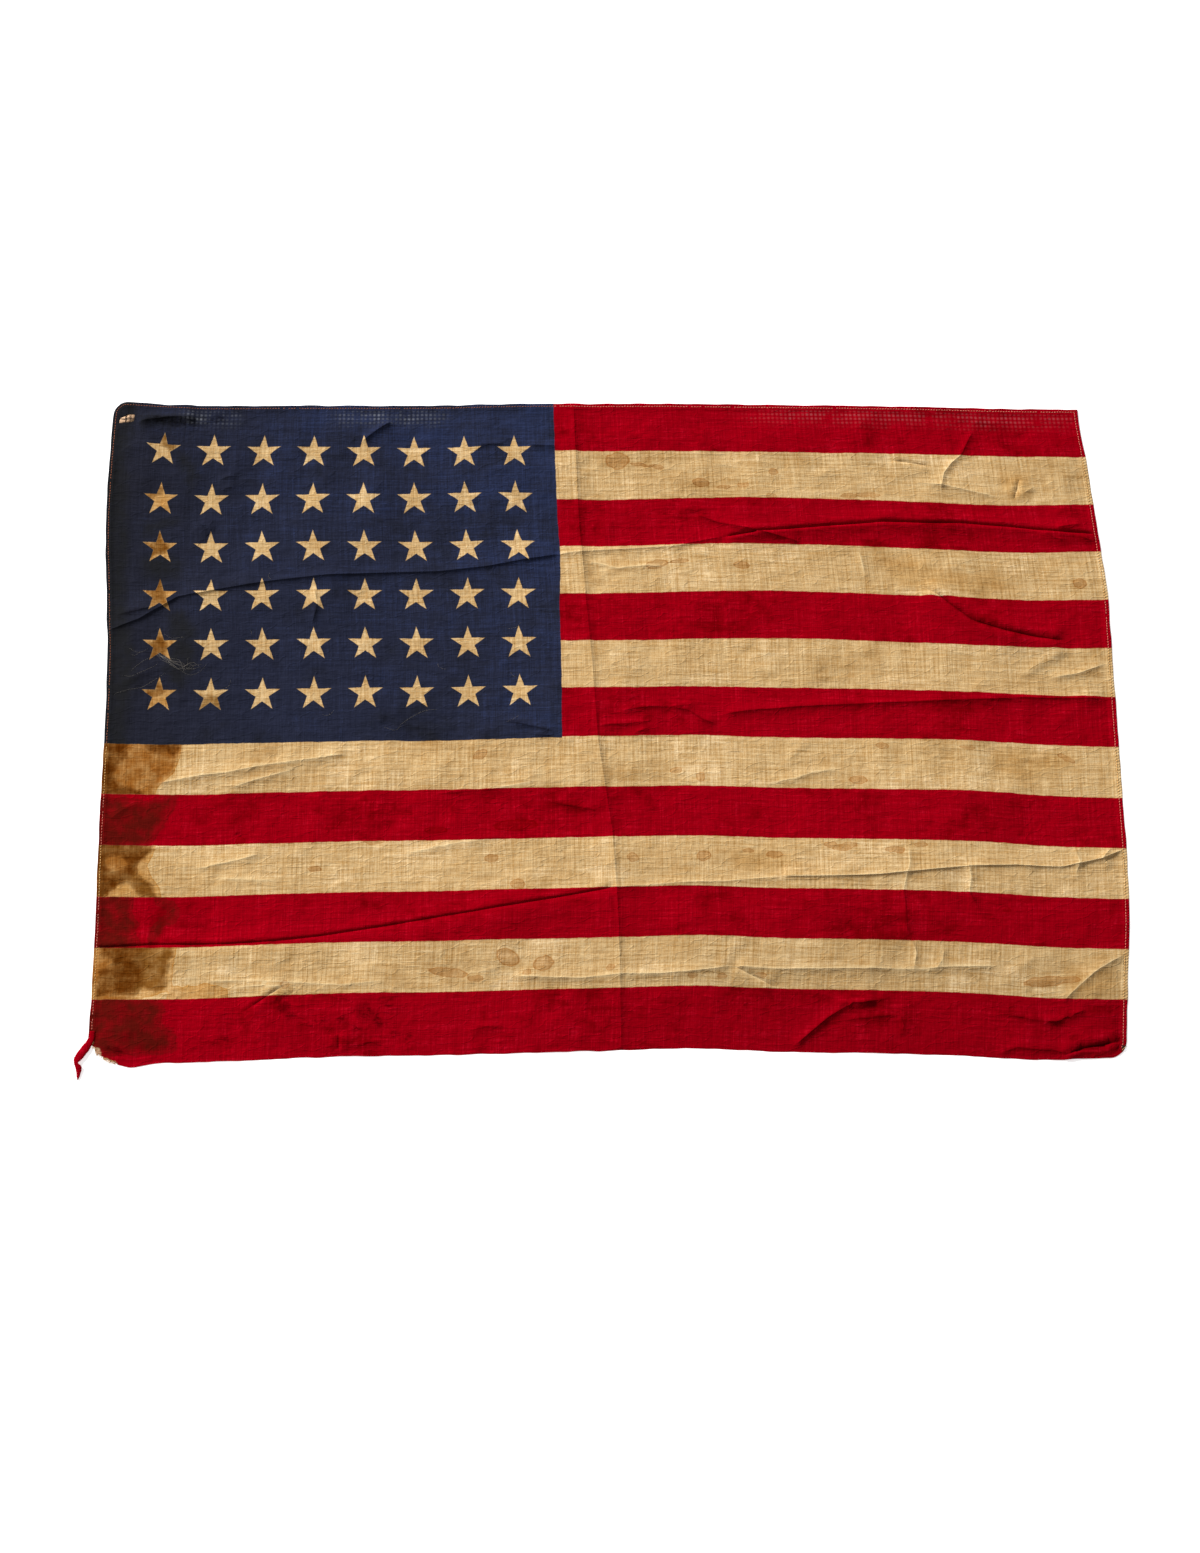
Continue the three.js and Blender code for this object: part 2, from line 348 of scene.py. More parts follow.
FOLDS: tuple[Fold, ...] = (
    Fold(STORAGE_FOLD, 1.8, 16, 4.0, fade=2, soil=0.2),
    Fold(UPPER_HOIST_FOLD, 2.3, 10, 2.4, fade=5, soil=0.3),
    Fold(((4, 403), (25, 408), (50, 415)), 2.1, 6, 2.6),
    Fold(UPPER_FLY_FOLD[:5], 1.7, 6, 3, fade=5),
    Fold(UPPER_FLY_FOLD[4:], 2.4, 3.4, 2.8, T, fade=12, soil=0.5),
    Fold(LOWER_FOLD[:10], 1.6, 2.8, 9.0, T, fade=6, soil=0.35),
    Fold(LOWER_FOLD[9:13], 1.4, 4, 4, fade=6),
    Fold(LOWER_FOLD[12:], 2.1, 6, 2.0, fade=8, soil=0.9),
    Fold(((438, 454), (452, 451), (468, 446), (496, 449), (516, 447)), 1.4, 3.4, 3),
    Fold(((528, 505), (545, 503), (560, 506)), 1.4, 4, 3),
    Fold(((545, 499), (564, 491), (581, 487), (601, 483), (638, 474)), 2.8, 5, 3, fade=6),
    Fold(((875, 491), (892, 494), (901, 496)), 2.0, 4, 3, fade=5),
    Fold(((894, 484), (904, 480), (912, 478)), 1.8, 4, 3, fade=5),
    Fold(((862, 489), (872, 482), (884, 479)), 1.5, 3, 3, fade=5),
    Fold(((812, 587), (798, 563), (787, 554), (779, 544), (774, 527)), 2.0, 3, 4, fade=6),
    Fold(((730, 556), (745, 554), (766, 551)), 1.4, 3, 2.8, T, fade=5),
    Fold(((750, 534), (777, 532), (797, 528), (831, 521)), 1.5, 4, 3),
    Fold(((849, 541), (846, 532), (841, 519)), 1.7, 3, 3, T, fade=5),
    Fold(((848, 524), (856, 529), (864, 531)), 1.2, 3, 3, fade=5),
    Fold(((690, 471), (692, 461), (694, 446), (695, 437)), 1.2, 3, 3),
    Fold(((744, 432), (760, 423), (773, 412), (789, 400), (816, 392), (849, 386), (873, 383)),
         3.0, 4, 5, T, fade=12),
    Fold(((826, 343), (841, 357), (862, 369), (882, 375)), 1.9, 7, 5, crisp=False),
    Fold(((853, 347), (881, 351), (898, 357), (912, 362)), 2.1, 5, 3),
    Fold(((446, 296), (470, 297), (493, 299)), 1.8, 4, 3, fade=6),
    Fold(((510, 312), (527, 309), (540, 300), (553, 297)), 2.1, 3.4, 3, fade=6),
    Fold(((465, 309), (492, 313), (510, 312), (534, 315)), 1.8, 4, 3, fade=6),
    Fold(((475, 288), (483, 290), (493, 294)), 1.5, 3, 3, fade=5),
    Fold(((554, 305), (580, 310), (628, 315), (719, 320), (769, 323), (830, 328), (908, 327)),
         2.5, 5, 3.2, fade=14),
    Fold(((592, 241), (622, 248), (639, 254), (667, 258)), 1.2, 4, 3),
    Fold(((633, 287), (623, 273), (611, 259)), 1.1, 7, 6, crisp=False),
    Fold(((399, 226), (426, 220), (449, 216)), 1.4, 4, 3),
    Fold(((720, 192), (721, 172), (715, 148), (717, 125), (719, 101)), 1.2, 3, 3),
    Fold(((772, 177), (775, 160), (773, 146), (784, 127)), 1.4, 3.4, 4),
    Fold(((901, 189), (892, 179), (900, 171)), 2.0, 3, 3, fade=5),
    Fold(((868, 190), (872, 176), (866, 160)), 1.5, 3, 4, fade=5),
    Fold(((47, 248), (61, 251), (89, 256), (113, 258), (146, 264), (179, 268), (219, 273)),
         1.8, 5, 2.8, fade=10),
    Fold(((110, 242), (136, 250), (166, 258), (179, 262)), 1.4, 4, 2.8),
    Fold(((83, 170), (103, 174), (129, 179), (148, 184)), 1.5, 4, 2.8),
    Fold(((100, 163), (132, 160), (165, 158)), 0.9, 4, 3),
    Fold(((5, 213), (21, 225), (41, 234)), 1.1, 4, 4, soil=0.3),
    Fold(((370, 68), (409, 66), (432, 65), (468, 68), (501, 67), (533, 69), (566, 74)),
         2.0, 4.6, 2.6, fade=12),
    Fold(((566, 74), (602, 73), (636, 74), (689, 75), (731, 75), (754, 78), (803, 81)),
         2.0, 4.6, 2.6, fade=14),
    Fold(((566, 74), (586, 65), (603, 57)), 1.7, 3, 3, T, fade=5),
    Fold(((97, 71), (152, 69), (185, 66), (218, 63), (260, 66)), 1.0, 4, 2.8),
    Fold(((117, 64), (150, 65), (176, 62)), 0.9, 3, 2.8),
    Fold(((722, 101), (727, 91), (725, 75)), 1.7, 3, 3, fade=5),
    Fold(((752, 98), (750, 84), (742, 72)), 1.2, 3, 4, fade=5),
    Fold(((856, 50), (866, 60), (885, 77), (900, 86), (912, 92)), 2.4, 6, 3.2, fade=6),
    Fold(((872, 66), (882, 58), (890, 52)), 1.2, 4, 5, crisp=False),
    Fold(((619, 3), (635, 17), (651, 31), (667, 41), (694, 48)), 3.0, 5, 3.2, fade=8),
    Fold(((655, 44), (680, 44), (704, 49)), 1.7, 3.4, 3, fade=6),
    Fold(((661, 28), (687, 31), (716, 35)), 1.7, 4, 3),
    Fold(((712, 38), (718, 26), (716, 14)), 1.4, 3, 3),
    Fold(((837, 30), (857, 36), (880, 44)), 2.4, 4, 3, fade=8),
    Fold(((804, 40), (830, 35), (850, 33), (866, 37)), 2.0, 4, 3),
    Fold(((857, 3), (874, 9), (886, 11), (909, 14)), 3.3, 3.4, 2.8, T, fade=5, soil=1.0),
    Fold(((798, 3), (818, 10), (850, 8), (872, 2)), 2.1, 4, 3, fade=6),
    Fold(((134, 42), (159, 58), (172, 65)), 1.4, 3, 3, T),
    Fold(((220, 22), (221, 1)), 1.7, 3, 3, T),
    Fold(((116, 23), (112, 38), (121, 52)), 1.1, 6, 5, crisp=False),
    Fold(((232, 9), (248, 12), (262, 12)), 1.0, 3, 3),
    Fold(((391, 569), (405, 567), (419, 567)), 2.1, 4, 3, fade=5),
    Fold(((337, 566), (352, 569), (372, 570)), 1.5, 4, 3),
    Fold(((190, 431), (192, 413), (186, 393)), 2.0, 3.4, 3, fade=6),
    Fold(((166, 385), (174, 378), (184, 374)), 1.5, 3, 3),
    Fold(((84, 497), (91, 490), (97, 484)), 2.0, 3, 3, T, fade=4),
    Fold(((102, 536), (110, 539), (120, 541)), 1.8, 3, 3, fade=4),
    Fold(((104, 526), (112, 529), (120, 530)), 1.5, 3, 3, fade=4),
    Fold(((234, 572), (249, 584), (265, 595)), 3.3, 5, 4, fade=8),
    Fold(((22, 590), (38, 594), (55, 597), (80, 598)), 4.5, 9, 4.2, fade=8, soil=0.5),
    Fold(((4, 556), (24, 568), (46, 574)), 1.7, 7, 6, crisp=False),
    Fold(((357, 303), (385, 296), (413, 289)), 2.0, 4, 3),
    Fold(((380, 289), (400, 287), (413, 283)), 1.5, 3, 3),
    Fold(((240, 260), (252, 230), (248, 205)), 0.7, 7, 6, crisp=False),
    Fold(((270, 180), (320, 190), (366, 194)), 1.0, 5, 4),
    Fold(((300, 235), (350, 238), (395, 246)), 1.2, 5, 4),
    Fold(((8, 340), (40, 352), (70, 361)), 1.3, 6, 6, crisp=False),
    Fold(((470, 585), (500, 573), (520, 580)), 1.4, 7, 6, crisp=False),
    Fold(((560, 590), (556, 575), (548, 560)), 1.4, 8, 6, crisp=False),
    Fold(((700, 598), (712, 586), (716, 572)), 1.2, 8, 6, crisp=False),
    Fold(((850, 300), (880, 320), (905, 330)), 1.3, 9, 8, crisp=False),
    Fold(((860, 140), (875, 118), (872, 96)), 1.2, 9, 7, crisp=False),
    Fold(((800, 60), (822, 84), (850, 104)), 1.2, 9, 7, crisp=False),
    Fold(((330, 20), (350, 24), (372, 22)), 1.4, 4, 4),
)


def stray_folds(count: int, seed: int) -> tuple[Fold, ...]:
    """Short faint wrinkles all over the cloth.

    Args:
        count: how many.
        seed: fixes where they are.

    Returns:
        The wrinkles, none of them sharp.
    """
    chance = np.random.default_rng(seed)
    made = []
    for _ in range(count):
        middle = chance.uniform((20, 15), (895, 595))
        angle = chance.normal(0.15, 0.6) + (math.pi / 2 if chance.random() < 0.25 else 0)
        half = chance.uniform(6, 22) * np.array([math.cos(angle), math.sin(angle)])
        bend = chance.normal(0, 2.0, 2)
        line = tuple(tuple(p) for p in (middle - half, middle + bend, middle + half))
        height = chance.uniform(0.35, 0.95)
        made.append(Fold(line, height, chance.uniform(3, 6), chance.uniform(3, 5), crisp=False))
    return tuple(made)


WRINKLES = FOLDS + stray_folds(120, 77)

CRUMPLES: tuple[Crumple, ...] = (
    Crumple(120, 320, 0.80, 11),
    Crumple(36, 90, 0.36, 23),
    Crumple(13, 28, 0.085, 37, 60),
)
EDGE_WAVER = Crumple(12, 50, 0.2, 5, 24)


@dataclass(frozen=True)
class Hem:
    """A narrow hem, turned under and sewn down, in millimetres."""

    width: float = 5.0
    roll: float = 0.30
    rise: float = 0.55
    step_back: float = 0.8
    step_out: float = 1.4
    stitch_inset: float = 2.6
    dent: float = 0.2
    dent_width: float = 0.8

    @property
    def turn(self) -> float:
        """The length of cloth in the rolled edge."""
        return math.pi * self.roll

    def swell(self, inset: Array) -> Array:
        """How far the layers of the hem lift the face of the cloth.

        Args:
            inset: distances from the nearest hemmed edge.

        Returns:
            The lift in millimetres.
        """
        start, end = self.width - self.step_back, self.width + self.step_out
        step = self.rise * (1 - soft_step(start, end, inset))
        from_stitch = (inset - self.stitch_inset) / self.dent_width
        return step - self.dent * np.exp(-(from_stitch**2))


@dataclass(frozen=True)
class Relief:
    """The height of the laid cloth's face over the table, in millimetres."""

    plan: ClothPlan
    hem: Hem
    rest: float = 0.12
    lowest: float = 0.1
    slack: float = 0.7
    flat_share: float = 0.2
    flat_reach: float = 26
    pressed_share: float = 0.5
    pressed_reach: float = 12
    peak_rise: float = 1.6
    peak_at: Pair = (10, 4)
    peak_width: float = 9

    def height(self, a: Array, b: Array) -> Array:
        """The face of the cloth at places on the cut, inside its edges.

        Args:
            a: places along the fly.
            b: places up the hoist.

        Returns:
            Heights in millimetres, never under the table.
        """
        down = self.plan.hoist - b
        loose = sum(c.lift(a, b) for c in CRUMPLES) + self.slack
        loose = np.where(loose > 0, loose, 0) + 0.02
        edge = np.minimum.reduce([a, self.plan.fly - a, b, down])
        folded = sum(fold.lift(a, b) for fold in WRINKLES)
        free = soft_step(0, self.flat_reach, edge)
        lift = loose * (self.flat_share + (1 - self.flat_share) * free)
        free = soft_step(0, self.pressed_reach, edge)
        lift = lift + folded * (self.pressed_share + (1 - self.pressed_share) * free)
        inset = np.minimum.reduce([a, self.plan.fly - a, down])
        from_peak = np.hypot(a - self.peak_at[0], down - self.peak_at[1])
        peak = self.peak_rise * np.exp(-from_peak / self.peak_width)
        return self.rest + lift + self.hem.swell(inset) + peak + self.lowest


def mesh_piece(
    name: str,
    points: Array,
    faces: Iterable[Sequence[int]],
    cloth: Array | None = None,
) -> bpy.types.Object:
    """A smooth mesh object in the scene.

    Args:
        name: the piece's name.
        points: vertex places in metres, in the row frame.
        faces: vertex numbers of each face.
        cloth: for each vertex, its place on the cut cloth in millimetres.

    Returns:
        The new object.
    """
    mesh = bpy.data.meshes.new(name)
    mesh.from_pydata(points.tolist(), [], [list(map(int, f)) for f in faces])
    mesh.validate()
    mesh.polygons.foreach_set("use_smooth", np.ones(len(mesh.polygons), bool))
    if cloth is not None:
        place = mesh.attributes.new(CLOTH_PLACE, "FLOAT_VECTOR", "POINT")
        place.data.foreach_set("vector", cloth.astype(np.float32).ravel())
    mesh.update()
    piece = bpy.data.objects.new(name, mesh)
    bpy.context.scene.collection.objects.link(piece)
    return piece


def cloth_places(plan: ClothPlan, a: Array, b: Array) -> Array:
    """Places on the cut as (a, distance under the top edge, 0) rows."""
    return np.stack([a, plan.hoist - b, np.zeros_like(a)], axis=-1)


class Signal:
    """A number that varies over a surface. Python's operators act on it."""

    def __init__(self, book: "NodeBook", socket: bpy.types.NodeSocket) -> None:
        """Wraps a socket of the material that book writes."""
        self.book = book
        self.socket = socket

    def maths(self, operation: str, *values: Any) -> "Signal":
        """Adds a Math node.

        Args:
            operation: the node's operation.
            values: what follows this signal. Where a difference ends in this
                signal, they are the whole list.

        Returns:
            The node's result.
        """
        turned_round = operation == "SUBTRACT" and values[-1] is self
        inputs = values if turned_round else (self, *values)
        node = self.book.node(
            "ShaderNodeMath", {"operation": operation}, dict(enumerate(inputs))
        )
        return Signal(self.book, node.outputs[0])

    def __add__(self, other: Any) -> "Signal":
        """The sum."""
        return self.maths("ADD", other)

    def __radd__(self, other: Any) -> "Signal":
        """The sum, with a number first."""
        return self.maths("ADD", other)

    def __sub__(self, other: Any) -> "Signal":
        """The difference."""
        return self.maths("SUBTRACT", other)

    def __rsub__(self, other: Any) -> "Signal":
        """A number less this."""
        return self.maths("SUBTRACT", other, self)

    def __mul__(self, other: Any) -> "Signal":
        """The product."""
        return self.maths("MULTIPLY", other)

    def __rmul__(self, other: Any) -> "Signal":
        """The product, with a number first."""
        return self.maths("MULTIPLY", other)

    def __truediv__(self, other: Any) -> "Signal":
        """The quotient."""
        return self.maths("DIVIDE", other)

    def __abs__(self) -> "Signal":
        """The size without its sign."""
        return self.maths("ABSOLUTE")

    def lesser(self, other: Any) -> "Signal":
        """The lesser of two."""
        return self.maths("MINIMUM", other)

    def greater(self, other: Any) -> "Signal":
        """The greater of two."""
        return self.maths("MAXIMUM", other)

    def held(self, low: float = 0.0, high: float = 1.0) -> "Signal":
        """Kept between two numbers."""
        return self.greater(low).lesser(high)

    def step(self, low: float, high: float) -> "Signal":
        """0 at low and 1 at high, softly, in either direction.

        Args:
            low: the value that gives 0.
            high: the value that gives 1.

        Returns:
            The step.
        """
        node = self.book.node(
            "ShaderNodeMapRange",
            {"interpolation_type": "SMOOTHSTEP"},
            {"Value": self, "From Min": low, "From Max": high},
        )
        return Signal(self.book, node.outputs["Result"])

    def band(self, middle: float, half: float) -> "Signal":
        """1 at the middle, fading to 0 at half on either side."""
        return abs(self - middle).step(half, 0.0)


class Tint:
    """A colour that varies over a surface."""

    def __init__(self, book: "NodeBook", value: Any) -> None:
        """Wraps a colour, or the socket of one."""
        self.book = book
        self.value = value

    def mixed(self, other: Any, share: Any, blend: str = "MIX") -> "Tint":
        """Mixes another colour into this one.

        Args:
            other: the other colour, or a Tint.
            share: how much of it, 0 to 1.
            blend: the Mix node's way of mixing.

        Returns:
            The mixed colour.
        """
        node = self.book.node(
            "ShaderNodeMix",
            {"data_type": "RGBA", "blend_type": blend},
            {0: share, 6: self, 7: other},
        )
        return Tint(self.book, node.outputs[2])

    def times(self, level: Signal) -> "Tint":
        """The colour made lighter or darker by a level round 1.

        Args:
            level: what it is multiplied by.

        Returns:
            The colour.
        """
        node = self.book.node(
            "ShaderNodeVectorMath",
            {"operation": "SCALE"},
            {0: self, "Scale": level},
        )
        return Tint(self.book, node.outputs[0])


class NodeBook:
    """Writes one material's nodes."""

    def __init__(self, name: str) -> None:
        """Starts an empty material."""
        self.material = bpy.data.materials.new(name)
        self.material.use_nodes = True
        self.tree = self.material.node_tree
        self.tree.nodes.clear()

    def node(self, kind: str, settings: dict[str, Any], inputs: dict[Any, Any]) -> Any:
        """Adds a node.

        Args:
            kind: the node's type.
            settings: its settings.
            inputs: for each socket, a number, colour, Signal, Tint or socket.

        Returns:
            The node.
        """
        made = self.tree.nodes.new(kind)
        for key, value in settings.items():
            setattr(made, key, value)
        for key, value in inputs.items():
            socket = made.inputs[key]
            if isinstance(value, Signal):
                value = value.socket
            elif isinstance(value, Tint):
                value = value.value
            if isinstance(value, bpy.types.NodeSocket):
                self.tree.links.new(value, socket)
            elif isinstance(value, tuple) and socket.type == "VECTOR":
                socket.default_value = value[:3]
            else:
                socket.default_value = value
        return made

    def cloth_place(self) -> bpy.types.NodeSocket:
        """The place on the cut cloth, in millimetres from the hoist and the top."""
        return self.node(
            "ShaderNodeAttribute", {"attribute_name": CLOTH_PLACE}, {}
        ).outputs["Vector"]

    def kept(self, name: str) -> Signal:
        """A number kept on the mesh."""
        return Signal(
            self, self.node("ShaderNodeAttribute", {"attribute_name": name}, {}).outputs["Fac"]
        )

    def parts(self, vector: Any) -> tuple[Signal, Signal]:
        """The first two numbers of a vector."""
        node = self.node("ShaderNodeSeparateXYZ", {}, {0: vector})
        return Signal(self, node.outputs[0]), Signal(self, node.outputs[1])

    def vector(self, operation: str, first: Any, second: Any) -> bpy.types.NodeSocket:
        """A Vector Math result of two vectors."""
        inputs = {0: first, 1: second}
        return self.node("ShaderNodeVectorMath", {"operation": operation}, inputs).outputs[0]

    def noise(
        self,
        place: Any,
        grain: Pair,
        seed: float,
        detail: float = 2.0,
        rough: float = 0.5,
    ) -> Signal:
        """Soft noise round 0, from about -0.5 to 0.5.

        Args:
            place: the place on the cloth.
            grain: its grain along the fly and down the hoist, in millimetres.
            seed: moves it to another part of the noise.
            detail: octaves of finer noise.
            rough: strength of the finer noise.

        Returns:
            The noise.
        """
        moved = self.node(
            "ShaderNodeMapping",
            {},
            {
                "Vector": place,
                "Location": (seed * 17.31, seed * 23.77, 0.0),
                "Scale": (1 / grain[0], 1 / grain[1], 1.0),
            },
        )
        node = self.node(
            "ShaderNodeTexNoise",
            {"noise_dimensions": "2D"},
            {
                "Vector": moved.outputs[0],
                "Scale": 1.0,
                "Detail": detail,
                "Roughness": rough,
            },
        )
        return Signal(self, node.outputs[0]) - 0.5

    def wavered(self, place: Any, reach: float, grain: float, seed: float) -> Any:
        """The place moved about by noise.

        Args:
            place: the place on the cloth.
            reach: how far it moves, in millimetres.
            grain: over what distance that changes.
            seed: moves it to another part of the noise.

        Returns:
            The moved place.
        """
        da = self.noise(place, (grain, grain), seed, 1.5) * (2 * reach)
        dy = self.noise(place, (grain, grain), seed + 4.1, 1.5) * (2 * reach)
        move = self.node("ShaderNodeCombineXYZ", {}, {0: da, 1: dy})
        return self.vector("ADD", place, move.outputs[0])

    def spot_reach(self, place: Any, spot: "Spot") -> Signal:
        """The squared distance from a spot's middle, 1 on its rim.

        Args:
            place: the place on the cloth.
            spot: the spot.

        Returns:
            The squared distance.
        """
        if not spot.turn:
            inverse = (1 / spot.half_length, 1 / spot.half_width, 0.0)
            local = self.node(
                "ShaderNodeVectorMath",
                {"operation": "MULTIPLY_ADD"},
                {0: place, 1: inverse, 2: (-spot.a * inverse[0], -spot.down * inverse[1], 0.0)},
            ).outputs[0]
            square = self.node(
                "ShaderNodeVectorMath", {"operation": "DOT_PRODUCT"}, {0: local, 1: local}
            )
            return Signal(self, square.outputs["Value"])
        a, down = self.parts(place)
        c, s = math.cos(math.radians(spot.turn)), math.sin(math.radians(spot.turn))
        along = down * (s / spot.half_length) - (spot.a * c + spot.down * s) / spot.half_length
        along = a.maths("MULTIPLY_ADD", c / spot.half_length, along)
        across = down * (c / spot.half_width) + (spot.a * s - spot.down * c) / spot.half_width
        across = a.maths("MULTIPLY_ADD", -s / spot.half_width, across)
        return along.maths("MULTIPLY_ADD", along, across * across)

    def pool(self, place: Any, spots: Sequence["Spot"]) -> Signal:
        """How far each place is from a group of spots: under 1 is inside one.

        Args:
            place: the place on the cloth.
            spots: the spots.

        Returns:
            The distance to the nearest.
        """
        nearest = self.spot_reach(place, spots[0])
        for spot in spots[1:]:
            nearest = nearest.lesser(self.spot_reach(place, spot))
        return nearest.maths("SQRT")

    def surface(self, colour: Any, rough: Any, bump: Any = None, glow: float = 0) -> None:
        """Ends the material in one Principled shader.

        Args:
            colour: its colour.
            rough: its roughness.
            bump: its bumped normal, if any.
            glow: how much white light it gives.
        """
        inputs: dict[Any, Any] = {
            "Base Color": colour,
            "Roughness": rough,
            "Specular IOR Level": 0.0,
            "Emission Color": (1.0, 1.0, 1.0, 1.0),
            "Emission Strength": glow,
        }
        if bump is not None:
            inputs["Normal"] = bump
        shader = self.node("ShaderNodeBsdfPrincipled", {}, inputs)
        self.node("ShaderNodeOutputMaterial", {}, {0: shader.outputs[0]})

    def bump(self, height: Signal) -> bpy.types.NodeSocket:
        """A bumped normal from a height in millimetres."""
        inputs = {"Strength": 1.0, "Distance": MM, "Height": height}
        return self.node("ShaderNodeBump", {}, inputs).outputs[0]


def ink(red: int, green: int, blue: int) -> Colour:
    """A colour as the shader wants it.

    Args:
        red: its red, out of 255.
        green: its green.
        blue: its blue.

    Returns:
        The colour.
    """
    parts = [c / 255 for c in (red, green, blue)]
    lin = [p / 12.92 if p <= 0.04045 else ((p + 0.055) / 1.055) ** 2.4 for p in parts]
    return (*lin, 1.0)


@dataclass(frozen=True)
class Spot:
    """A stain's place from the hoist and the top edge and its half sizes, in mm."""

    a: float
    down: float
    half_length: float
    half_width: float
    turn: float = 0.0


class StainKind(Enum):
    """What a large stain does to the cloth."""

    TIDE = "deep brown, on bare cloth"
    WASH = "pale brown with a fine dark rim, on bare cloth"
    SOAK = "brown-black, on red dye"
    # Dark patches on the navy dye; the one near the top edge by the hoist is a painted fold shadow.
    DUSK = "grey-black, on navy dye"
    AGED = "a broad dull tan, on bare cloth"
    BREW = "mid brown, on bare cloth"


@dataclass(frozen=True)
class Stain:
    """A large stain, by its outline from the hoist and the top edge, in mm."""

    kind: StainKind
    outline: tuple[Pair, ...]
    spared: bool = False

    def depth(self, a: Array, down: Array) -> Array:
        """How far each place is inside the outline, less than nought outside.

        Args:
            a: distances from the hoist.
            down: distances from the top edge.

        Returns:
            The depth in millimetres.
        """
        points = np.asarray(self.outline, float)
        nearest = np.full(a.shape, 1e9)
        for start, end in zip(points, np.roll(points, -1, axis=0)):
            nearest = np.minimum(nearest, np.hypot(*from_line(a, down, start, end)[1:]))
        return np.where(inside_outline(self.outline, a, down), nearest, -nearest)


TIDE, WASH, SOAK, DUSK, AGED, BREW = StainKind
STAIN_REACH = 40.0

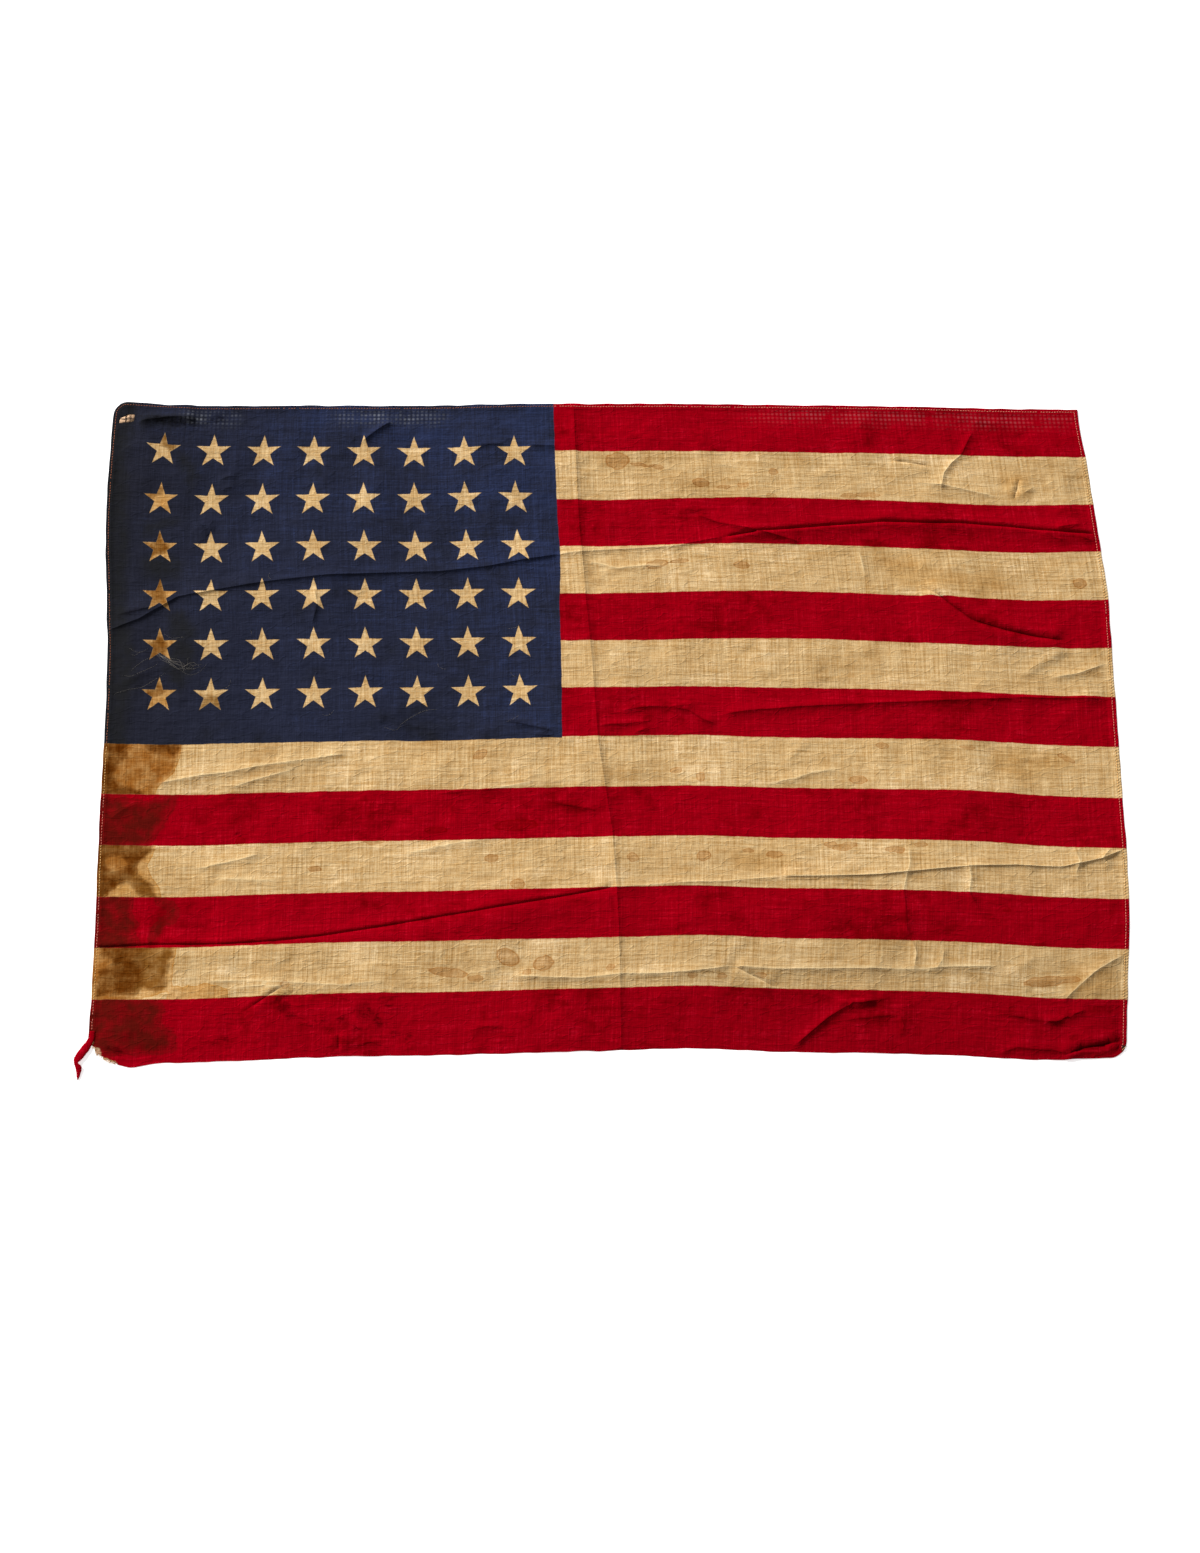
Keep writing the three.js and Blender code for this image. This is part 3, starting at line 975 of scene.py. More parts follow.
STAINS: tuple[Stain, ...] = (
    Stain(BREW, ((-9, 316), (72, 316), (69, 338), (63, 354), (50, 363), (46, 380), (-9, 380))),
    Stain(BREW, ((-9, 410), (47, 410), (42, 426), (36, 436), (30, 446), (18, 454), (8, 472),
                 (-9, 472))),
    Stain(BREW, ((-9, 500), (40, 500), (44, 530), (36, 562), (-9, 562))),
    # Painted fold shadow under the fold along the top edge near the hoist.
    Stain(DUSK, ((22, 14), (40, 11), (60, 11), (86, 9), (88, 16), (64, 20), (40, 23), (28, 25))),
    Stain(TIDE, ((28, 318), (70, 318), (69, 330), (63, 337), (57, 333), (49, 335), (40, 330))),
    Stain(TIDE, ((-9, 318), (24, 318), (19, 330), (24, 337), (14, 345), (11, 354), (16, 363),
                 (36, 367), (40, 378), (-9, 378))),
    Stain(WASH, ((-9, 318), (70, 318), (69, 339), (64, 353), (52, 362), (45, 378), (-9, 378))),
    Stain(TIDE, ((-9, 412), (51, 412), (50, 423), (43, 427), (38, 432), (35, 438), (40, 446),
                 (47, 450), (51, 456), (57, 470), (41, 470), (33, 458), (28, 451), (22, 453),
                 (12, 460), (3, 470), (-9, 470))),
    Stain(TIDE, ((5, 433), (9, 428), (20, 428), (27, 433), (25, 438), (16, 440), (9, 438)), True),
    Stain(WASH, ((-9, 412), (53, 412), (48, 428), (43, 436), (50, 447), (56, 457), (60, 470),
                 (-9, 470))),
    Stain(TIDE, ((5, 502), (72, 502), (70, 515), (71, 517), (67, 522), (68, 527), (65, 533),
                 (67, 540), (65, 546), (54, 548), (45, 545), (40, 551), (5, 551), (2, 543),
                 (7, 536), (5, 530), (17, 525), (16, 520), (7, 519))),
    Stain(WASH, ((-9, 502), (75, 502), (71, 524), (70, 546), (52, 552), (20, 557), (-9, 558))),
    Stain(WASH, ((66, 556), (67, 546), (73, 542), (80, 544), (85, 542), (93, 543), (99, 541),
                 (106, 543), (113, 544), (120, 547), (121, 560))),
    Stain(TIDE, ((45, 28), (52, 28), (67, 42), (60, 47), (53, 45), (47, 42))),
    Stain(TIDE, ((28, 84), (43, 88), (50, 75), (52, 86), (48, 90), (43, 92), (37, 95), (28, 90))),
    Stain(TIDE, ((43, 121), (52, 121), (54, 134), (60, 137), (57, 144), (52, 146), (43, 148),
                 (36, 155), (37, 143), (29, 134), (43, 135))),
    Stain(TIDE, ((43, 168), (53, 168), (55, 180), (55, 188), (62, 203), (36, 203), (39, 189),
                 (29, 180), (43, 180))),
    Stain(TIDE, ((28, 230), (42, 230), (47, 215), (52, 228), (57, 234), (53, 244), (42, 249),
                 (34, 247), (39, 238))),
    Stain(TIDE, ((28, 275), (43, 275), (46, 261), (52, 273), (57, 276), (48, 282), (38, 284))),
    Stain(TIDE, ((76, 277), (89, 278), (101, 280), (113, 278), (106, 285), (104, 296), (95, 289),
                 (83, 296), (87, 284))),
    Stain(WASH, ((26, 66), (70, 66), (66, 120), (72, 200), (70, 250), (66, 299), (26, 299))),
    Stain(SOAK, ((-9, 366), (17, 372), (41, 378), (70, 366), (66, 384), (57, 398), (46, 413),
                 (40, 424), (-9, 424))),
    Stain(SOAK, ((66, 376), (57, 386), (31, 402), (10, 411), (12, 424), (40, 424), (57, 400))),
    Stain(SOAK, ((-9, 458), (34, 458), (32, 477), (38, 486), (35, 495), (40, 505), (32, 516),
                 (-9, 516))),
    Stain(SOAK, ((50, 458), (63, 465), (71, 471), (75, 478), (71, 486), (63, 490), (58, 494),
                 (55, 500), (47, 505), (48, 496), (52, 488), (58, 483), (63, 479), (61, 475),
                 (54, 470))),
    Stain(SOAK, ((-9, 548), (52, 548), (66, 563), (61, 574), (77, 588), (78, 598), (62, 602),
                 (38, 600), (21, 604), (-9, 606))),
    Stain(SOAK, ((16, 556), (38, 558), (45, 577), (42, 590), (25, 595), (14, 577))),
    Stain(DUSK, ((-9, -9), (24, -9), (16, 60), (22, 130), (18, 190), (26, 250), (20, 330),
                 (-9, 330))),
    Stain(DUSK, ((62, 46), (70, 48), (81, 58), (84, 71), (78, 82), (74, 80), (71, 68), (66, 57))),
    Stain(DUSK, ((34, 116), (45, 112), (68, 110), (67, 117), (52, 122), (42, 130), (34, 128))),
    Stain(DUSK, ((30, 152), (45, 148), (60, 146), (70, 152), (67, 168), (52, 171), (36, 170))),
    Stain(DUSK, ((53, 203), (70, 200), (82, 220), (79, 260), (67, 276), (50, 256), (58, 230))),
    Stain(AGED, ((712, 152), (738, 148), (768, 160), (790, 166), (812, 158), (828, 176),
                 (800, 186), (770, 180), (742, 184), (716, 172))),
    Stain(AGED, ((828, 60), (858, 64), (856, 90), (836, 94))),
    Stain(AGED, ((794, 330), (836, 328), (874, 334), (878, 350), (856, 350), (830, 362),
                 (800, 352))),
    Stain(AGED, ((858, 526), (892, 520), (908, 540), (900, 556), (862, 556))),
    Stain(AGED, ((560, 432), (600, 428), (640, 444), (600, 452), (566, 446))),
)

RUST_SPOTS: tuple[Spot, ...] = (
    Spot(582, 160, 8, 3.2), Spot(504, 160, 10, 4, -12), Spot(525, 157, 9, 2, -10),
    Spot(339, 339, 6.5, 4, -30), Spot(515, 357, 5, 3), Spot(537, 363, 4, 4.5),
    Spot(679, 363, 8, 3.6), Spot(701, 331, 6, 3), Spot(777, 331, 7, 1.6),
    Spot(126, 415, 4, 4.4), Spot(193, 442, 6, 2.4), Spot(245, 418, 9, 2.6),
    Spot(350, 435, 6, 4), Spot(373, 459, 6.5, 4.5), Spot(314, 537, 18, 4, 8),
    Spot(338, 543, 7, 2.6, 5), Spot(366, 525, 11, 7, 25), Spot(398, 531, 9, 6.4, -8),
    Spot(384, 539, 4, 2.6), Spot(842, 541, 19, 4.6, -4), Spot(864, 540, 8, 3),
    Spot(664, 425, 11, 3.4, -10), Spot(708, 427, 9, 3), Spot(538, 436, 6, 4.6),
    Spot(475, 57, 11, 8), Spot(496, 61, 9, 1.8, 8), Spot(511, 63, 7, 2, 10),
    Spot(551, 79, 8, 4, 6), Spot(591, 81, 5, 2.4), Spot(572, 83, 6, 1.8),
    Spot(620, 67, 4.5, 3.4), Spot(617, 92, 5, 3.4), Spot(706, 89, 11, 2.2),
    Spot(688, 90, 8, 2), Spot(170, 545, 4, 3), Spot(806, 478, 4, 2),
    Spot(651, 423, 6, 2.4), Spot(731, 422, 6, 2.2), Spot(457, 536, 4, 3),
    Spot(601, 433, 7, 3), Spot(578, 430, 5, 2), Spot(475, 437, 5, 4),
    Spot(590, 543, 5, 2.6), Spot(556, 545, 4.5, 2), Spot(530, 545, 4, 2.2),
    Spot(890, 172, 6, 5), Spot(866, 338, 8, 2.2, 30), Spot(371, 405, 20, 5, -2),
    Spot(300, 408, 10, 3),
)
WORN_DYE: tuple[Spot, ...] = (Spot(8, 598.4, 5, 3.2, 35), Spot(17, 606.5, 7, 1.5, 24))

# Grime stains, and painted fold shadow.
GRIME_AND_SHADE_SPOTS: tuple[Spot, ...] = (
    Spot(171, 566, 8, 6), Spot(176, 573, 6, 4), Spot(205, 578, 9, 1.6, -4),
    Spot(222, 577, 6, 3), Spot(242, 572, 9, 9), Spot(254, 578, 5, 7),
    Spot(236, 586, 6, 3), Spot(168, 556, 12, 2.4, -35), Spot(176, 552, 6, 1.4, -30),
    Spot(262, 566, 4, 3), Spot(194, 582, 4, 1.6), Spot(121, 590, 2.4, 1.6),
    Spot(125, 408, 4, 4), Spot(270, 590, 6, 2.4, -20), Spot(282, 594, 4, 2, -20),
    # Painted fold shadow: under the fold along the top edge near the hoist, and above the flap at the
    # torn corner.
    Spot(56, 17, 34, 4.4, 4), Spot(98, 13, 14, 3), Spot(25, 598, 12, 3.6, 12),
)


@dataclass(frozen=True)
class FlagPrint:
    """Where the printed stripes, star field and stars are, in mm of cloth."""

    first_stripe: float = 47.6
    stripe: float = 45.95
    field_length: float = 415.6
    field_drop: float = 324.4
    first_star: Pair = (48.5, 46.5)
    star_pitch: Pair = (47.0, 46.7)
    star_radius: float = 16.4
    star_columns: int = 8
    star_rows: int = 6

    def printed(self, a: Signal, down: Signal) -> tuple[Signal, Signal]:
        """The place on the print, which runs a few millimetres off the cut's grain.

        Args:
            a: distance from the hoist.
            down: distance from the top edge.

        Returns:
            Both, as the print has them.
        """
        low = (((down - 290) / 310).held() * math.pi).maths("SINE") * 2.6
        droop = a.step(800, 935) * down.step(0, 430) * 5.0
        wave = ((a - 450) * (2 * math.pi / 360)).maths("COSINE") * 1.9 + 0.8
        wave = wave * a.step(300, 420) * down.step(40, 110) * down.step(310, 230)
        skew = (a * 0.006 + 1.8) * down.step(140, 210) - 1.3
        return a + skew, down - (low + droop + wave)

    def pale_stripes(self, down: Signal) -> Signal:
        """1 on the unprinted stripes and 0 on the red ones.

        Args:
            down: distances from the top edge.

        Returns:
            The share of bare cloth at each place.
        """
        place = ((down - self.first_stripe) / self.stripe).held(-0.5, 11.5)
        wave = (place * math.pi).maths("SINE") * (self.stripe / math.pi)
        return wave.step(-0.4, 0.4)

    def star_field(self, a: Signal, down: Signal) -> Signal:
        """1 on the star field."""
        end = a.step(self.field_length + 0.4, self.field_length - 0.4)
        return end * down.step(self.field_drop + 0.4, self.field_drop - 0.4)

    def stars(self, a: Signal, down: Signal) -> Signal:
        """1 on the stars, which are bare cloth.

        Args:
            a: distances from the hoist.
            down: distances from the top edge.

        Returns:
            The share of star at each place.
        """
        from_a = a - self.first_star[0]
        from_top = down - self.first_star[1]
        column = (from_a / self.star_pitch[0]).maths("ROUND")
        column = column.held(0, self.star_columns - 1)
        row = (from_top / self.star_pitch[1]).maths("ROUND").held(0, self.star_rows - 1)
        tilt = (column - 3.5) * (1 - row).greater(0.0) * 0.5
        across = from_a - column * self.star_pitch[0]
        up = row * self.star_pitch[1] + tilt - from_top
        angle = across.maths("ARCTAN2", up)
        fifth = abs(angle.maths("WRAP", math.radians(36), math.radians(-36)))
        reach = (across * across + up * up).maths("SQRT")
        slant = math.radians(18)
        outside = (
            reach * fifth.maths("COSINE") * math.sin(slant)
            + reach * fifth.maths("SINE") * math.cos(slant)
            - self.star_radius * math.sin(slant)
        )
        return outside.step(0.35, -0.35)


@dataclass(frozen=True)
class Ground:
    """What varies over the printed cloth: its place, print, yarns and patches."""

    book: NodeBook
    place: Any
    a: Signal
    down: Signal
    starred: Signal
    stars: Signal
    pale: Signal
    bare_cloth: Signal
    streaks: Signal
    check: Signal
    clouds: Signal
    blots: Signal
    patchy: Signal
    ragged: Signal

    def stain(self, kind: StainKind) -> Signal:
        """How deep the surface is in stains of a kind, in mm."""
        return self.book.kept(STAIN_NAME.format(kind.name.lower())) - STAIN_REACH


@dataclass(frozen=True)
class PrintedCotton:
    """Thin plain-weave cotton, printed in crimson and navy, aged and stained, with painted shade and
    highlight on its creases and painted fold shadow.

    A tint multiplies what is under it. The other colours cover it.
    """

    layout: FlagPrint
    weave_pitch: float = 4.1
    pucker_pitch: float = 2.7
    roughness: float = 0.92
    tan: Colour = ink(203, 173, 126)
    pale_tan: Colour = ink(226, 198, 154)
    dull_tan: Colour = ink(174, 139, 90)
    yarn_tint: Colour = ink(238, 214, 176)
    crimson: Colour = ink(150, 0, 17)
    worn_crimson: Colour = ink(178, 16, 38)
    deep_crimson: Colour = ink(122, 0, 9)
    navy: Colour = ink(38, 41, 58)
    worn_navy: Colour = ink(42, 51, 82)
    deep_navy: Colour = ink(30, 31, 38)
    hoist_navy: Colour = ink(34, 33, 37)
    aged_tint: Colour = ink(226, 206, 168)
    brew_tint: Colour = ink(203, 174, 135)
    wash_tint: Colour = ink(226, 192, 132)
    tide_tint: Colour = ink(168, 146, 108)
    soaked_red: Colour = ink(80, 17, 10)
    # Dark navy patches, also used for one painted fold shadow.
    dusky_navy: Colour = ink(32, 32, 31)
    rust_tint: Colour = ink(204, 162, 104)
    lost_dye: Colour = ink(205, 172, 134)
    # Grime stains, also used for painted fold shadow.
    grime_and_shade_tint: Colour = ink(70, 34, 28)
    speck_tint: Colour = ink(120, 78, 40)
    red_glint: Colour = ink(182, 110, 114)
    navy_glint: Colour = ink(150, 154, 164)
    # Painted crease shade with dirt on the dyes, and painted crease highlight on bare cloth.
    dye_crease_dirt_and_shade: Colour = ink(138, 116, 104)
    bare_crease_highlight: Colour = ink(240, 216, 168)

    def streaks(self, book: NodeBook, place: Any) -> Signal:
        """Thick and thin yarns of the weave, round 0.

        Args:
            book: the material.
            place: the place on the cloth.

        Returns:
            The streaks.
        """
        weft = book.noise(place, (26, 0.9), 1, 2.0, 0.6)
        warp = book.noise(place, (0.9, 26), 2, 2.0, 0.6)
        fine = book.noise(place, (3.0, 0.55), 3, 1.0) + book.noise(place, (0.55, 3.0), 4, 1.0)
        slub = book.noise(place, (60, 2.4), 5, 1.0) + book.noise(place, (2.4, 60), 6, 1.0)
        return weft * 0.9 + warp * 0.9 + fine * 0.5 + slub * 0.6

    def open_weave(self, book: NodeBook, place: Any) -> Signal:
        """A faint check of thinner weave, 0 to 2.

        Args:
            book: the material.
            place: the place on the cloth.

        Returns:
            How thin the weave is.
        """
        a, down = book.parts(book.wavered(place, 0.8, 30, 71))
        turn = 2 * math.pi / self.weave_pitch
        rows = (down * turn).maths("SINE").step(0.1, 1.0)
        columns = (a * turn).maths("SINE").step(0.1, 1.0)
        patch_rows = book.noise(place, (90, 40), 8, 2.0).step(-0.12, 0.16)
        patch_columns = book.noise(place, (70, 60), 9, 2.0).step(-0.12, 0.16)
        return rows * patch_rows + columns * patch_columns

    def thin_edge(self, a: Signal, down: Signal) -> Signal:
        """Dots of light through the thinnest cloth along the top edge.

        Args:
            a: distances from the hoist.
            down: distances from the top edge.

        Returns:
            The dots, 0 to 1.
        """
        turn = 2 * math.pi / self.weave_pitch
        columns = (a * turn).maths("SINE") * 0.5 + 0.5
        rows = (down * turn).maths("SINE") * 0.5 + 0.5
        reach = a.band(92, 38).greater(a.band(260, 75)).greater(a.band(760, 215))
        return columns * rows * reach.step(0.0, 0.5) * down.step(26, 8) * down.step(4.5, 6.5)

    def ground(self, book: NodeBook) -> Ground:
        """Works out what varies over the cloth.

        Args:
            book: the material.

        Returns:
            All of it, for the dyes, stains and dirt.
        """
        place = book.cloth_place()
        a, down = book.parts(place)
        inked = book.wavered(place, 0.5, 9, 61)
        ink_a, ink_down = self.layout.printed(*book.parts(inked))
        pale = self.layout.pale_stripes(ink_down)
        starred = self.layout.star_field(ink_a, ink_down)
        stars = self.layout.stars(ink_a, ink_down)
        return Ground(
            book=book,
            place=place,
            a=a,
            down=down,
            starred=starred,
            stars=stars,
            pale=pale,
            bare_cloth=pale + (stars - pale) * starred,
            streaks=self.streaks(book, place),
            check=self.open_weave(book, place),
            clouds=book.noise(place, (80, 60), 12, 3.0, 0.6),
            blots=book.noise(place, (16, 12), 13, 3.0, 0.65),
            patchy=book.noise(place, (14, 12), 24, 3.0, 0.6),
            ragged=book.noise(place, (12, 9), 26, 4.0, 0.62),
        )

    def dyed(self, ground: Ground) -> Tint:
        """Bare cloth and the two dyes, with their wear.

        Args:
            ground: what varies over the cloth.

        Returns:
            The colour of the clean cloth.
        """
        book, streaks, check = ground.book, ground.streaks, ground.check
        clouds, blots = ground.clouds, ground.blots
        dull = (clouds * 1.6 + blots * 0.9).step(0.0, 0.75)
        light = (clouds * -1.5 + blots * -0.8 + streaks * 0.25).step(0.02, 0.6)
        yarn = (0.36 - streaks * 1.2 + check * 0.12).held()
        bare = Tint(book, self.tan).mixed(self.dull_tan, dull).mixed(self.pale_tan, light)
        bare = bare.mixed(self.yarn_tint, yarn, "MULTIPLY")
        bare = bare.times(1.10 + streaks * 0.36 - check * 0.12)

        deep = (clouds * 1.5 + blots * 1.4).step(-0.02, 0.6)
        worn = (streaks * 0.9 + blots * -0.6).step(0.05, 0.75) * 0.75
        red = Tint(book, self.crimson).mixed(self.deep_crimson, deep)
        red = red.mixed(self.worn_crimson, worn).times(0.96 + streaks * 0.34 + check * 0.09)

        deep = (clouds * 1.6 + blots * 0.7).step(0.0, 0.7)
        toward_fly = ground.a * 0.0011 - ground.down * 0.0009
        worn = (streaks * 0.6 + blots * -0.5 - clouds + toward_fly).step(0.0, 0.8) * 0.8
        navy = Tint(book, self.navy).mixed(self.deep_navy, deep).mixed(self.worn_navy, worn)
        navy = navy.mixed(self.hoist_navy, ground.a.step(170, 10) * 0.55)
        navy = navy.times(1 + streaks * 0.5).mixed(bare, ground.stars)
        return red.mixed(bare, ground.pale).mixed(navy, ground.starred)

    def stained(self, ground: Ground, colour: Tint) -> Tint:
        """Lays the large stains over the clean cloth, and a painted fold shadow near the top edge by
        the hoist.

        Args:
            ground: what varies over the cloth.
            colour: the clean cloth.

        Returns:
            The stained cloth.
        """
        patchy, ragged, bare = ground.patchy, ground.ragged, ground.bare_cloth
        tide = ground.stain(TIDE) + ragged * 7
        brown = tide.step(-1.4, 3.6) * (0.9 + patchy * 0.9) + tide.band(1.0, 1.4) * 0.14
        brew = (ground.stain(BREW) + ragged * 11).step(-4, 6) * (0.85 + patchy * 1.5)
        wash = ground.stain(WASH) + ragged * 4
        pale_brown = wash.step(-0.4, 0.9) * (0.62 + patchy * 0.8) + wash.band(0.4, 0.8) * 0.5
        aged = (ground.stain(AGED) + ragged * 12 + ground.streaks * 6).step(-6, 8)
        colour = colour.mixed(self.aged_tint, aged * bare * 0.55, "MULTIPLY")
        colour = colour.mixed(self.brew_tint, brew.held() * bare, "MULTIPLY")
        colour = colour.mixed(self.wash_tint, pale_brown.held() * bare, "MULTIPLY")
        colour = colour.mixed(self.tide_tint, brown.held() * bare, "MULTIPLY")
        on_dye = 1 - bare
        wet = ground.stain(SOAK) + ragged * 10
        soak = wet.step(-4, 9) * (0.85 + patchy * 1.4) + wet.band(0.5, 1.8) * 0.28
        on_red = (1 - ground.starred) * on_dye
        colour = colour.mixed(self.soaked_red, soak.held() * on_red * 0.9)
        # Dark navy patches, and a painted fold shadow near the top edge by the hoist.
        dusk_and_shade = (ground.stain(DUSK) + ragged * 10).step(-6, 8) * (0.9 + patchy)
        return colour.mixed(self.dusky_navy, dusk_and_shade.held() * ground.starred * on_dye * 0.75)

    def soiled(self, ground: Ground, colour: Tint) -> Tint:
        """Lays rust, worn dye, grime, painted fold shadow, specks, light dots, painted crease shade
        and highlight, and a darkening towards the fly end and the lower edge.

        Args:
            ground: what varies over the cloth.
            colour: the stained cloth.

        Returns:
            The finished colour.
        """
        book, place, bare = ground.book, ground.place, ground.bare_cloth
        on_dye = 1 - bare
        spotted = book.wavered(place, 1.6, 7, 41)
        rust = book.pool(spotted, RUST_SPOTS) + ground.ragged * 0.25
        fox = rust.step(1.06, 0.86) * (0.46 + ground.patchy * 0.6) + rust.band(0.98, 0.14) * 0.55
        colour = colour.mixed(self.rust_tint, fox.held(), "MULTIPLY")
        worn = book.pool(spotted, WORN_DYE).step(1.1, 0.6) * (0.9 + ground.ragged * 1.6)
        colour = colour.mixed(self.lost_dye, worn.held() * 0.85)
        # Grime, with painted fold shadow from the last three spots.
        grime_and_shade = book.pool(book.wavered(place, 3.2, 6, 51), GRIME_AND_SHADE_SPOTS).step(1.2, 0.4)
        grime_and_shade = grime_and_shade * (0.5 + book.noise(place, (5, 2.4), 52, 4.0, 0.7) * 2.2)
        colour = colour.mixed(self.grime_and_shade_tint, grime_and_shade.held() * 0.8, "MULTIPLY")

        specks = book.noise(place, (2.6, 2.2), 81, 1.0).step(0.335, 0.39)
        colour = colour.mixed(self.speck_tint, specks * bare * 0.55, "MULTIPLY")
        light_dots = self.thin_edge(ground.a, ground.down) * on_dye
        light_dots = light_dots * (0.3 + ground.patchy * 1.4 + ground.blots * 1.2).held()
        glint = Tint(book, self.red_glint).mixed(self.navy_glint, ground.starred)
        colour = colour.mixed(glint, light_dots * 0.72)
        # Crease lines: painted shade and dirt on the dyes, a paler painted highlight along the crests
        # on bare cloth.
        soil = book.kept(CREASE_DIRT_AND_SHADING)
        soil = soil * soil
        colour = colour.mixed(self.dye_crease_dirt_and_shade, soil * on_dye, "MULTIPLY")
        colour = colour.mixed(self.bare_crease_highlight, soil * bare * 0.8)
        # Darker towards the fly end and towards the lower edge.
        lower_edge = ground.down.step(400, 580) * ground.a.step(100, 700)
        return colour.times(1.0 - ground.a.step(450, 914) * 0.06 - lower_edge * 0.16)

    def bumps(self, ground: Ground) -> bpy.types.NodeSocket:
        """Yarns, small wrinkles, fine lines and the puckered fly hem.

        Args:
            ground: what varies over the cloth.

        Returns:
            The bumped normal.
        """
        book, place = ground.book, ground.place
        weave = book.noise(place, (26, 0.9), 1, 1.0) + book.noise(place, (0.9, 26), 2, 1.0)
        wrinkles = book.noise(place, (12, 8), 31, 2.5, 0.5) * 0.85
        fine_lines = abs(book.noise(place, (26, 9), 33, 1.5, 0.45)).step(0.045, 0.0) * 0.16
        slanted = (ground.down + ground.a * 0.55) * (2 * math.pi / self.pucker_pitch)
        pucker = slanted.maths("SINE") * ground.a.step(908.5, 911)
        return book.bump(weave * 0.14 + wrinkles + fine_lines + pucker * 0.10)

    def make(self) -> bpy.types.Material:
        """Writes the material.

        Returns:
            The finished material.
        """
        book = NodeBook("printed_cotton")
        ground = self.ground(book)
        colour = self.soiled(ground, self.stained(ground, self.dyed(ground)))
        book.surface(colour, self.roughness, self.bumps(ground))
        return book.material


@dataclass(frozen=True)
class HemThread:
    """Cotton sewing thread, faded by the dye of the cloth it crosses."""

    layout: FlagPrint
    salmon: Colour = ink(214, 120, 104)
    cream: Colour = ink(226, 178, 112)
    rusty: Colour = ink(150, 96, 74)

    def make(self) -> bpy.types.Material:
        """Writes the material.

        Returns:
            The material.
        """
        book = NodeBook("hem_thread")
        place = book.cloth_place()
        a, down = self.layout.printed(*book.parts(place))
        pale = self.layout.pale_stripes(down)
        starred = self.layout.star_field(a, down)
        colour = Tint(book, self.salmon).mixed(self.cream, pale).mixed(self.rusty, starred)
        fade = book.noise(place, (9, 9), 3, 3.0, 0.6)
        colour = colour.times(1 + fade * 0.9)
        ply = book.noise(place, (0.5, 0.5), 5, 1.0) * 0.1
        book.surface(colour, 0.85, book.bump(ply))
        return book.material


@dataclass(frozen=True)
class BareYarn:
    """Loose cotton yarn or fibre of one colour."""

    name: str
    colour: Colour

    def make(self) -> bpy.types.Material:
        """Writes the material.

        Returns:
            The material.
        """
        book = NodeBook(self.name)
        place = book.node("ShaderNodeTexCoord", {}, {}).outputs["Object"]
        fleck = book.noise(place, (0.002, 0.002), 3, 2.0)
        colour = Tint(book, self.colour).times(1 + fleck * 0.5)
        book.surface(colour, 0.9)
        return book.material


@dataclass(frozen=True)
class Tabletop:
    """Plain pale surface under the flag."""

    half_side: float = 6.0
    colour: Colour = (0.93, 0.93, 0.93, 1.0)

    def build(self) -> bpy.types.Object:
        """Makes the floor.

        Returns:
            The staged floor.
        """
        h = self.half_side
        points = np.array([(-h, -h, 0), (h, -h, 0), (h, h, 0), (-h, h, 0)], float)
        floor = mesh_piece("tabletop", points, [(0, 1, 2, 3)])
        book = NodeBook("tabletop_paint")
        book.surface(self.colour, 0.9, glow=0.6)
        floor.data.materials.append(book.material)
        return floor


@dataclass(frozen=True)
class Zone:
    """A run of equal cells between two grid lines."""

    start: Array | float
    end: Array | float
    cells: int


